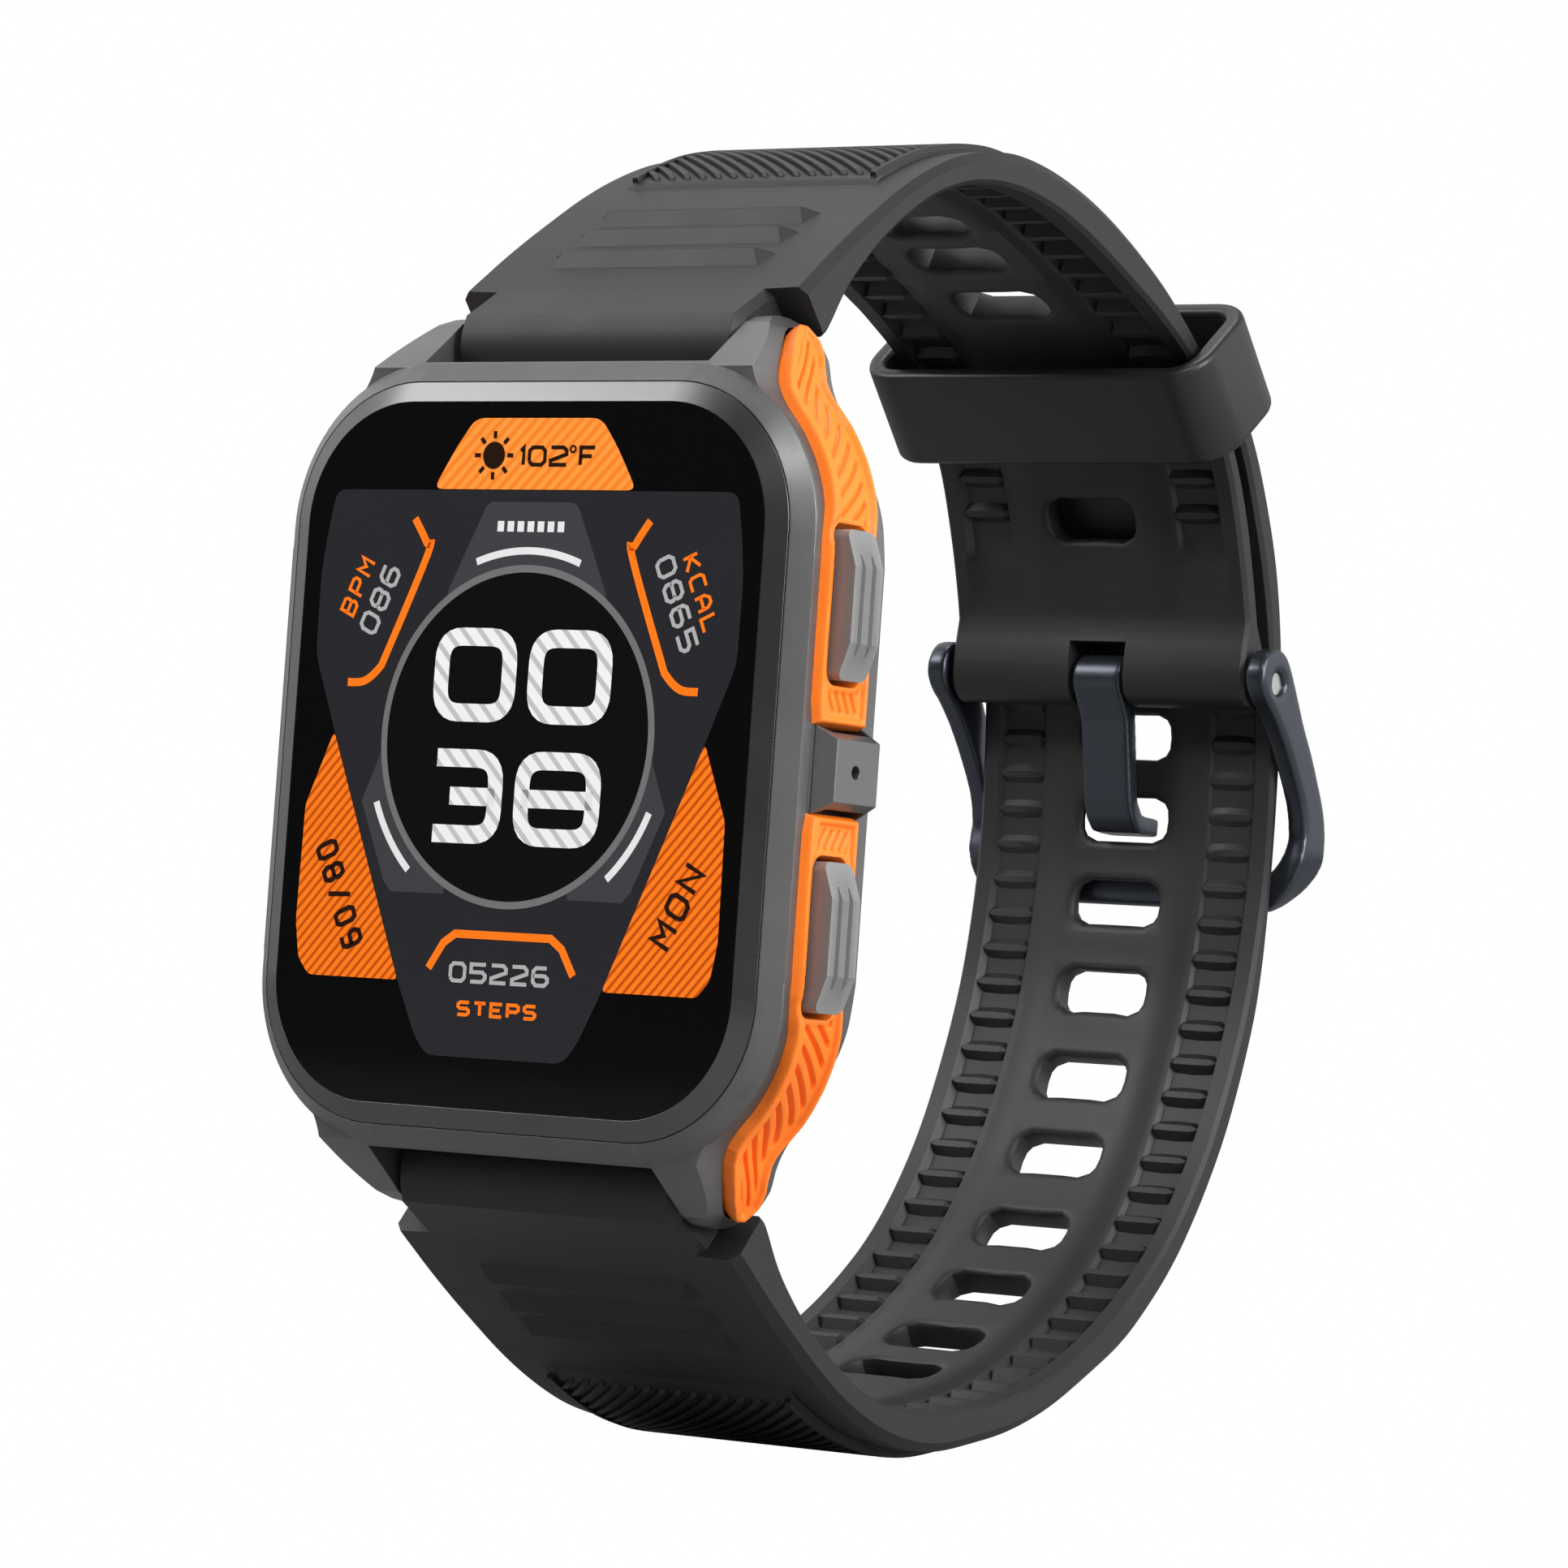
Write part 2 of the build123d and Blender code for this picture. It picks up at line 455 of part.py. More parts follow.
top = strap_body(top_outer, top_inner, 1)
roll_out = 1.85
top += xcyl(roll_out, -strap_hw + 0.1, strap_hw - 0.1, buckle_d, buckle_z)
top += yz_solid([(63.5, 14.6), (65.0, 14.6), (66.4, 11.6), (66.2, 10.5), (63.2, 10.5), (63.1, 11.8)], -strap_hw + 0.1, strap_hw - 0.1)
for q in top_slots:
    top -= slot_at(*q)
top -= xcyl(buckle_pin_r, -20, 20, buckle_d, buckle_z)
top -= box(-tang_w / 2 - 0.35, tang_w / 2 + 0.35, buckle_d - 5, buckle_d + 5, buckle_z - 4, buckle_z + 2.35)
top = max(solids_of(top), key=lambda q: q.volume)
put("buckle_strap", top)

hole = strap_body(bot_outer, bot_inner, -1)
for q in hole_slots:
    hole -= slot_at(*q)
hole = max(solids_of(hole), key=lambda q: q.volume)
put("hole_strap", hole)

# ------------------------------------------------- quick-release spring bars
for s, n in ((1, "top"), (-1, "bottom")):
    tube = xcyl(bar_r, -lug_gap / 2 + 0.1, lug_gap / 2 - 0.1, bar_d, s * bar_z)
    tube += xcyl(pin_r, -12.5, -10.5, bar_d, s * bar_z)
    tube -= xcyl(pin_r + 0.05, 1.0, 12, bar_d, s * bar_z)
    tube -= box(knob_x - release_travel - 0.62, knob_x + 0.62, bar_d, bar_d + 3, s * bar_z - 0.6, s * bar_z + 0.6)
    put(n + "_spring_bar_tube", tube)
    rel = xcyl(pin_r, 5.0, 12.5, bar_d, s * bar_z) + ycyl(0.5, knob_x, bar_d, bar_d + 3.3, s * bar_z)
    rel += ycyl(0.75, knob_x, bar_d + 2.5, bar_d + 3.3, s * bar_z)
    put(n + "_release_pin", rel)
    coil = None
    for k in range(5):
        ring = Pos(1.15 + k * 0.52, Y(bar_d), s * bar_z) * Rot(0, 90, 0) * Torus(0.36, 0.1)
        coil = ring if coil is None else coil + ring
    coil += xcyl(0.14, 1.02, 3.5, bar_d + 0.36, s * bar_z)
    put(n + "_release_spring", coil)

# ---------------------------------------------------------------------- keeper
keep_a = (51.5, 29.95)
keep_b = (56.15, 24.3)
ux, uz = keep_b[0] - keep_a[0], keep_b[1] - keep_a[1]
ul = hypot(ux, uz)
ux, uz = ux / ul, uz / ul
nx, nz = -uz, ux            # outwards, away from the wrist
keep_c = ((keep_a[0] + keep_b[0]) / 2, (keep_a[1] + keep_b[1]) / 2)
keep_in_n, keep_out_n = 0.0, 9.3
keep_wall = 1.2
keep_hw = 13.95
keep_r = 3.0
kc = keep_out_n / 2
kpl = Plane(origin=(0, Y(keep_c[0] + nx * kc), keep_c[1] + nz * kc), x_dir=(1, 0, 0), z_dir=(0, ux, uz))
kouter = extrude(kpl * RectangleRounded(2 * keep_hw, keep_out_n, keep_r), amount=ul / 2, both=True)
kinner = extrude(kpl * RectangleRounded(2 * (keep_hw - 1.45), keep_out_n - 2 * keep_wall, 1.4), amount=ul, both=True)
keeper = kouter - kinner
put("keeper_loop", keeper)

# ---------------------------------------------------------------------- buckle
put("buckle_pin", xcyl(buckle_pin_r, -frame_out + 0.35, frame_out - 0.35, buckle_d, buckle_z))
frame_side = catmull([
    (62.75, 11.4), (63.35, 12.4), (64.5, 12.85), (65.6, 12.6), (66.5, 11.6), (67.5, 9.9), (68.7, 7.8), (69.9, 6.0), (71.2, 3.7),
    (72.0, 2.0), (72.3, 0.6), (72.35, -0.9), (71.85, -2.4), (71.0, -3.7), (70.2, -4.75), (69.5, -4.85), (69.13, -4.2), (69.15, -2.8),
    (69.3, -1.2), (69.55, 0.4), (69.25, 1.9), (68.5, 3.4), (67.3, 5.2), (66.0, 6.9), (64.7, 8.3),
    (63.4, 9.4), (62.75, 10.4), (62.75, 11.4)], 3)[:-1]
arms = yz_solid(frame_side, -frame_out, frame_out)
# plan of the buckle, drawn on X and Z: a U with wide round corners at the bow
bow_z, bow_in = -5.45, -2.75
plan_out = xz_solid(Pos(0, (bow_z + 26) / 2) * RectangleRounded(2 * frame_out, 26 - bow_z, 5.0), 60, 76)
plan_in = xz_solid(Pos(0, (bow_in + 30) / 2) * RectangleRounded(2 * frame_in, 30 - bow_in, 2.8), 59, 77)
frame_solid = (arms & plan_out) - plan_in
frame_solid -= xcyl(buckle_pin_r + pin_run, -20, 20, buckle_d, buckle_z)
put("buckle_frame", frame_solid)

# tang: eye on the pin, blade on the wrist side of the strap, bent tip in a slot
tang = xcyl(1.75, -tang_w / 2, tang_w / 2, buckle_d, buckle_z)
blade = yz_solid([(64.9, 12.2), (63.6, 11.6), (63.2, 10.0), (64.6, 7.6), (65.6, 2.2), (66.1, 1.0), (67.0, 0.05), (69.6, -0.1),
                  (69.6, 1.2), (67.5, 1.3), (66.8, 2.2), (65.8, 7.9), (66.0, 9.6)], -tang_w / 2, tang_w / 2)
tang += blade
tang -= xcyl(buckle_pin_r + pin_run, -20, 20, buckle_d, buckle_z)
put("buckle_tang", max(solids_of(tang), key=lambda q: q.volume))

# ---------------------------------------------------------------------- export
os.makedirs("parts", exist_ok=True)
for name, shape in parts.items():
    sol = shape.solids()
    out = sol[0] if len(sol) == 1 else Compound(children=list(sol))
    export_step(out, os.path.join("parts", name + ".step"))
    print(name, len(sol), round(sum(s.volume for s in sol), 2))
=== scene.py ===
import json
import math

import bmesh
import bpy
import numpy as np
from mathutils import Matrix, Vector


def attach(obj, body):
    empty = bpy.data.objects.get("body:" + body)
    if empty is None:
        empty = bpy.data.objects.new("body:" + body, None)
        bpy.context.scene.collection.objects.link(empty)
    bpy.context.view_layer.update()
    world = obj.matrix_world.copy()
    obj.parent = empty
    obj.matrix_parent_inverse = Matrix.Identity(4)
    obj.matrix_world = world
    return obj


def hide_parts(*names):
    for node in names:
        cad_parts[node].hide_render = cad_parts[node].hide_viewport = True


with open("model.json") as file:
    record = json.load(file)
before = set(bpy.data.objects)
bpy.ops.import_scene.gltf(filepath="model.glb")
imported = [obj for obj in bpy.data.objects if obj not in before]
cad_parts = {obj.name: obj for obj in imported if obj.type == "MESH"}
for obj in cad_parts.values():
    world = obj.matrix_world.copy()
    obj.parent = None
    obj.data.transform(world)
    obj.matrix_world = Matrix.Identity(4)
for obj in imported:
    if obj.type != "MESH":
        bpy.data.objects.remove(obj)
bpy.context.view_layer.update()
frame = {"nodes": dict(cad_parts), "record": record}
NODES = frame["nodes"]
MM = 0.001
DEPTH0 = 10.8            # depth 0 (bezel seam) is this far in front of the frame origin


def P(x, d, z):
    """Width, depth towards the wrist and height in mm, to metres in the row frame."""
    return (x * MM, (d - DEPTH0) * MM, z * MM)


# ------------------------------------------------------------------ materials
class Mat:
    """A procedural material: Principled base with grain, colour drift and roughness drift."""

    def __init__(self, name, color, rough=0.5, metal=0.0, grain=6000, grain_bump=0.02,
                 drift=0.08, drift_scale=180, rough_drift=0.06, spec=0.5, coat=0.0,
                 coat_rough=0.1, bevel=0.0, edge=0.0, aniso=0.0, grain_kind="noise", emit=0.0):
        m = bpy.data.materials.new(name)
        m.use_nodes = True
        nt = m.node_tree
        nt.nodes.clear()
        N, L = nt.nodes.new, nt.links.new
        out = N("ShaderNodeOutputMaterial")
        bsdf = N("ShaderNodeBsdfPrincipled")
        L(bsdf.outputs[0], out.inputs[0])
        tc = N("ShaderNodeTexCoord")
        big = N("ShaderNodeTexNoise")
        big.inputs["Scale"].default_value = drift_scale
        big.inputs["Detail"].default_value = 4
        L(tc.outputs["Object"], big.inputs["Vector"])
        fine = N("ShaderNodeTexNoise" if grain_kind == "noise" else "ShaderNodeTexVoronoi")
        fine.inputs["Scale"].default_value = grain
        if grain_kind == "noise":
            fine.inputs["Detail"].default_value = 3
        L(tc.outputs["Object"], fine.inputs["Vector"])
        lo = [c * (1 - drift) for c in color]
        hi = [min(1.0, c * (1 + drift)) for c in color]
        ramp = N("ShaderNodeValToRGB")
        ramp.color_ramp.elements[0].position = 0.35
        ramp.color_ramp.elements[1].position = 0.65
        ramp.color_ramp.elements[0].color = (*lo, 1)
        ramp.color_ramp.elements[1].color = (*hi, 1)
        L(big.outputs["Fac"], ramp.inputs[0])
        col = ramp.outputs[0]
        # painted highlight: base colour lightened towards 1.6x on sharp edges found by pointiness, so the edges look as
        # if they catch the light
        if edge > 0:
            geo = N("ShaderNodeNewGeometry")
            er = N("ShaderNodeValToRGB")
            er.color_ramp.elements[0].position = 0.52
            er.color_ramp.elements[1].position = 0.60
            er.color_ramp.elements[0].color = (0, 0, 0, 1)
            er.color_ramp.elements[1].color = (edge, edge, edge, 1)
            L(geo.outputs["Pointiness"], er.inputs[0])
            painted_highlight_mix = N("ShaderNodeMix")
            painted_highlight_mix.data_type = "RGBA"
            L(er.outputs[0], painted_highlight_mix.inputs["Factor"])
            L(col, painted_highlight_mix.inputs[6])
            painted_highlight_mix.inputs[7].default_value = (*[min(1, c * 1.6 + 0.02) for c in color], 1)
            col = painted_highlight_mix.outputs[2]
        L(col, bsdf.inputs["Base Color"])
        rr = N("ShaderNodeMapRange")
        rr.inputs["To Min"].default_value = max(0.02, rough - rough_drift)
        rr.inputs["To Max"].default_value = min(1.0, rough + rough_drift)
        L(big.outputs["Fac"], rr.inputs[0])
        L(rr.outputs[0], bsdf.inputs["Roughness"])
        bsdf.inputs["Metallic"].default_value = metal
        bsdf.inputs["Specular IOR Level"].default_value = spec
        bsdf.inputs["Coat Weight"].default_value = coat
        bsdf.inputs["Coat Roughness"].default_value = coat_rough
        if aniso:
            bsdf.inputs["Anisotropic"].default_value = aniso
        bump = N("ShaderNodeBump")
        bump.inputs["Strength"].default_value = 0.6
        bump.inputs["Distance"].default_value = grain_bump * MM
        L(fine.outputs["Fac" if grain_kind == "noise" else "Distance"], bump.inputs["Height"])
        if bevel > 0:
            bv = N("ShaderNodeBevel")
            bv.samples = 4
            bv.inputs["Radius"].default_value = bevel * MM
            L(bv.outputs[0], bump.inputs["Normal"])
        L(bump.outputs[0], bsdf.inputs["Normal"])
        if emit > 0:
            L(col, bsdf.inputs["Emission Color"])
            bsdf.inputs["Emission Strength"].default_value = emit
        self.m, self.nt, self.bsdf, self.col = m, nt, bsdf, col


def lin(r, g=None, b=None):
    """sRGB 0-255 to linear."""
    if g is None:
        g = b = r
    return [((c / 255 + 0.055) / 1.055) ** 2.4 if c > 10 else c / 255 / 12.92 for c in (r, g, b)]


M = {}
M["rubber"] = Mat("strap_rubber", lin(31), rough=0.5, grain=9000, grain_bump=0.012, drift=0.05, spec=0.42, bevel=0.07).m
M["rubber_soft"] = Mat("keeper_rubber", lin(30), rough=0.40, grain=9000, grain_bump=0.010, drift=0.05, spec=0.42).m
# case and buttons take edge=: a painted highlight that lightens their sharp edges
M["case"] = Mat("case_satin", lin(100), rough=0.36, metal=0.7, grain=14000, grain_bump=0.012, drift=0.04, bevel=0.1, edge=0.35).m
M["bezel"] = Mat("bezel_satin", lin(92), rough=0.26, metal=0.85, grain=14000, grain_bump=0.006, drift=0.04, bevel=0.08).m
M["glass"] = Mat("cover_glass", lin(6), rough=0.045, grain=400, grain_bump=0.0, drift=0.0, rough_drift=0.01, spec=0.5).m
M["orange"] = Mat("bumper_orange", lin(252, 124, 30), rough=0.42, grain=9000, grain_bump=0.012, drift=0.03, spec=0.4, bevel=0.08).m
M["button"] = Mat("button_metal", lin(112), rough=0.42, metal=0.15, grain=14000, grain_bump=0.010, drift=0.04, bevel=0.06, edge=0.5).m
M["plastic"] = Mat("back_plastic", lin(40), rough=0.4, grain=9000, grain_bump=0.010, drift=0.05, bevel=0.08).m
M["window"] = Mat("sensor_glass", lin(10), rough=0.08, grain=400, grain_bump=0.0, drift=0.0, rough_drift=0.02).m
M["buckle"] = Mat("buckle_metal", lin(66, 70, 78), rough=0.30, metal=0.75, grain=14000, grain_bump=0.008, drift=0.04, bevel=0.1).m
M["steel"] = Mat("pin_steel", lin(190), rough=0.3, metal=1.0, grain=12000, grain_bump=0.006, drift=0.04).m
M["gold"] = Mat("gold_contact", lin(230, 180, 90), rough=0.28, metal=1.0, grain=12000, grain_bump=0.006, drift=0.04).m
M["seal"] = Mat("seal_rubber", lin(30), rough=0.6, grain=8000, grain_bump=0.01, drift=0.05).m
M["frame"] = Mat("frame_plastic", lin(60), rough=0.5, grain=8000, grain_bump=0.01, drift=0.05).m
M["board"] = Mat("board_green", lin(20, 80, 45), rough=0.45, grain=5000, grain_bump=0.01, drift=0.15).m
M["foil"] = Mat("battery_foil", lin(170), rough=0.35, metal=0.8, grain=3000, grain_bump=0.02, drift=0.08).m
M["ceramic"] = Mat("antenna_ceramic", lin(200, 190, 165), rough=0.5, grain=5000, grain_bump=0.01, drift=0.05).m

NODE_MAT = {
    "mid_case": "case", "bezel_ring": "bezel", "crystal_glass": "glass", "display_panel": "glass",
    "bezel_gasket": "seal", "back_gasket": "seal", "back_cover": "plastic", "sensor_window": "window",
    "optical_sensor_board": "board", "main_board": "board", "battery": "foil", "gps_antenna": "ceramic",
    "vibration_motor": "steel", "speaker": "frame", "microphone": "steel", "inner_chassis": "frame",
    "upper_switch": "steel", "lower_switch": "steel", "upper_button": "button", "lower_button": "button",
    "upper_button_clip": "steel", "lower_button_clip": "steel", "upper_button_seal": "seal",
    "lower_button_seal": "seal", "charging_contacts": "gold", "back_screws": "steel",
    "top_spring_bar_tube": "steel", "bottom_spring_bar_tube": "steel", "top_release_pin": "steel",
    "bottom_release_pin": "steel", "top_release_spring": "steel", "bottom_release_spring": "steel",
    "buckle_pin": "steel", "buckle_frame": "buckle", "buckle_tang": "buckle", "keeper_loop": "rubber_soft",
    "buckle_strap": "rubber", "hole_strap": "rubber",
    "right_upper_bumper": "orange", "right_lower_bumper": "orange",
    "left_upper_bumper": "orange", "left_lower_bumper": "orange",
}
for name, o in NODES.items():
    mat = M[NODE_MAT[name]]
    o.data.materials.clear()
    o.data.materials.append(mat)
    o.data.set_sharp_from_angle(angle=math.radians(28))

# ------------------------------------------------------------------ helpers
BODY_OF = {n: b for b, ns in frame["record"]["behaviour"]["bodies"].items() for n in ns}


def new_mesh(name, verts, faces, mat, body, sharp=30, clean=True):
    """A mesh object from verts in metres, cleaned, with sharp edges by angle, riding on a body."""
    me = bpy.data.meshes.new(name)
    me.from_pydata([tuple(v) for v in verts], [], [tuple(f) for f in faces])
    bm = bmesh.new()
    bm.from_mesh(me)
    if clean:
        bmesh.ops.remove_doubles(bm, verts=bm.verts, dist=2e-7)
        bmesh.ops.dissolve_degenerate(bm, dist=2e-7, edges=bm.edges)
        loose = [v for v in bm.verts if not v.link_faces]
        bmesh.ops.delete(bm, geom=loose, context="VERTS")
    bmesh.ops.recalc_face_normals(bm, faces=bm.faces)
    for f in bm.faces:
        f.smooth = True
    bm.to_mesh(me)
    bm.free()
    me.set_sharp_from_angle(angle=math.radians(sharp))
    me.materials.append(mat)
    o = bpy.data.objects.new(name, me)
    bpy.context.scene.collection.objects.link(o)
    if body:
        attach(o, body)
    return o


def bevel(o, width, segments=2, angle=30):
    md = o.modifiers.new("Edges", "BEVEL")
    md.width = width * MM
    md.segments = segments
    md.limit_method = "ANGLE"
    md.angle_limit = math.radians(angle)
    md.harden_normals = False
    return md


for n, w in (("mid_case", 0.12), ("bezel_ring", 0.07), ("upper_button", 0.1), ("lower_button", 0.1),
             ("back_cover", 0.1), ("sensor_window", 0.15), ("crystal_glass", 0.05)):
    bevel(NODES[n], w, 2, 35)

# ------------------------------------------------------------------ dial graphics
def ink(name, rgb, rough=0.12, stripe=None):
    """Display colour under gloss: optional diagonal stripes, faint noise drift."""
    m = bpy.data.materials.new(name)
    m.use_nodes = True
    t = m.node_tree
    b = t.nodes["Principled BSDF"]
    tco = t.nodes.new("ShaderNodeTexCoord")
    nz = t.nodes.new("ShaderNodeTexNoise")
    nz.inputs["Scale"].default_value = 120
    t.links.new(tco.outputs["Object"], nz.inputs["Vector"])
    rp = t.nodes.new("ShaderNodeValToRGB")
    rp.color_ramp.elements[0].color = (*[c * 0.94 for c in rgb], 1)
    rp.color_ramp.elements[1].color = (*[min(1, c * 1.04) for c in rgb], 1)
    t.links.new(nz.outputs["Fac"], rp.inputs[0])
    col = rp.outputs[0]
    if stripe:
        ang, pitch, dark, share = stripe
        mp = t.nodes.new("ShaderNodeMapping")
        mp.inputs["Rotation"].default_value = (0, math.radians(ang), 0)
        t.links.new(tco.outputs["Object"], mp.inputs[0])
        sx = t.nodes.new("ShaderNodeSeparateXYZ")
        t.links.new(mp.outputs[0], sx.inputs[0])
        dv = t.nodes.new("ShaderNodeMath")
        dv.operation = "DIVIDE"
        dv.inputs[1].default_value = pitch * MM
        t.links.new(sx.outputs["X"], dv.inputs[0])
        fr = t.nodes.new("ShaderNodeMath")
        fr.operation = "FRACT"
        t.links.new(dv.outputs[0], fr.inputs[0])
        lt = t.nodes.new("ShaderNodeMath")
        lt.operation = "LESS_THAN"
        lt.inputs[1].default_value = share
        t.links.new(fr.outputs[0], lt.inputs[0])
        mixc = t.nodes.new("ShaderNodeMix")
        mixc.data_type = "RGBA"
        t.links.new(lt.outputs[0], mixc.inputs["Factor"])
        t.links.new(col, mixc.inputs["A"])
        mixc.inputs["B"].default_value = (*dark, 1)
        col = mixc.outputs["Result"]
    t.links.new(col, b.inputs["Base Color"])
    t.links.new(col, b.inputs["Emission Color"])
    b.inputs["Emission Strength"].default_value = 0.25
    b.inputs["Roughness"].default_value = rough
    return m


INK = {
    "black": ink("dial_black", lin(9)),
    "panel": ink("dial_panel", lin(38, 38, 42)),
    "panel_light": ink("dial_panel_light", lin(62, 62, 66)),
    "grey": ink("dial_grey", lin(110)),
    "silver": ink("dial_silver", lin(170)),
    "white": ink("dial_white", lin(235), stripe=(45, 0.95, lin(188), 0.35)),
    "plain_white": ink("dial_plain_white", lin(225)),
    "orange": ink("dial_orange", lin(250, 120, 24)),
    "orange_stripe": ink("dial_orange_stripe", lin(250, 122, 26), stripe=(-42, 0.5, lin(190, 78, 10), 0.4)),
    "orange_top": ink("dial_orange_top", lin(255, 150, 62), stripe=(-45, 0.62, lin(240, 128, 40), 0.45)),
    "dark_text": ink("dial_dark_text", lin(35, 18, 8)),
}


class Flat:
    """Thin closed inlays on the glass, drawn in width/height mm and gathered into one mesh per colour."""

    def __init__(self):
        self.data = {}

    def poly(self, pts, inkname, level=0, quad_strip=False):
        v, f = self.data.setdefault(inkname, ([], []))
        d_back, d_front = -0.652, -0.66 - 0.012 * level
        n = len(pts)
        area = sum(pts[i][0] * pts[(i + 1) % n][1] - pts[(i + 1) % n][0] * pts[i][1] for i in range(n))
        if area < 0:
            pts = pts[::-1]
        b = len(v)
        v += [P(x, d_front, z) for x, z in pts] + [P(x, d_back, z) for x, z in pts]
        f.append(tuple(range(b, b + n)))
        f.append(tuple(range(b + 2 * n - 1, b + n - 1, -1)))
        for i in range(n):
            j = (i + 1) % n
            f.append((b + i, b + n + i, b + n + j, b + j))

    def stroke(self, pts, width, inkname, level=1, closed=False):
        """A line of constant width with mitred corners."""
        n = len(pts)
        L_, R_ = [], []
        for i in range(n):
            if closed:
                a, c = pts[i - 1], pts[(i + 1) % n]
            else:
                a, c = pts[max(i - 1, 0)], pts[min(i + 1, n - 1)]
            p = pts[i]
            d1 = (p[0] - a[0], p[1] - a[1])
            d2 = (c[0] - p[0], c[1] - p[1])
            if d1 == (0, 0):
                d1 = d2
            if d2 == (0, 0):
                d2 = d1
            l1, l2 = math.hypot(*d1), math.hypot(*d2)
            n1, n2 = (-d1[1] / l1, d1[0] / l1), (-d2[1] / l2, d2[0] / l2)
            mx_, my_ = n1[0] + n2[0], n1[1] + n2[1]
            lm = math.hypot(mx_, my_) or 1
            k = width / 2 / max(0.5, lm / 2)
            L_.append((p[0] + mx_ / lm * k, p[1] + my_ / lm * k))
            R_.append((p[0] - mx_ / lm * k, p[1] - my_ / lm * k))
        m = n if closed else n - 1
        for i in range(m):
            j = (i + 1) % n
            self.poly([R_[i], R_[j], L_[j], L_[i]], inkname, level)

    def make(self):
        for k, (v, f) in self.data.items():
            new_mesh("dial_" + k, v, f, INK[k], "case", sharp=20, clean=False)


def arc(cx, cz, r, a0, a1, n=24):
    return [(cx + r * math.cos(math.radians(a0 + (a1 - a0) * i / n)), cz + r * math.sin(math.radians(a0 + (a1 - a0) * i / n)))
            for i in range(n + 1)]


def rounded(pts, r, n=4):
    """Round the corners of a closed outline."""
    out_ = []
    m = len(pts)
    for i in range(m):
        a, p, c = Vector(pts[i - 1]), Vector(pts[i]), Vector(pts[(i + 1) % m])
        u, w_ = (a - p), (c - p)
        rr = min(r, u.length * 0.45, w_.length * 0.45)
        p0, p1 = p + u.normalized() * rr, p + w_.normalized() * rr
        for k in range(n + 1):
            s_ = k / n
            q = p0 * (1 - s_) ** 2 + p * 2 * s_ * (1 - s_) + p1 * s_ ** 2
            out_.append((q.x, q.y))
    return out_


def smooth_line(pts, per=8):
    """Evenly smoothed line through points, as an array."""
    out_ = []
    n = len(pts)
    for i in range(n - 1):
        p0, p1, p2, p3 = pts[max(i - 1, 0)], pts[i], pts[i + 1], pts[min(i + 2, n - 1)]
        for k in range(per):
            t = k / per
            out_.append(tuple(0.5 * (2 * p1[c] + (p2[c] - p0[c]) * t + (2 * p0[c] - 5 * p1[c] + 4 * p2[c] - p3[c]) * t * t
                                     + (3 * p1[c] - p0[c] - 3 * p2[c] + p3[c]) * t ** 3) for c in (0, 1)))
    out_.append(tuple(pts[-1]))
    return np.array(out_)


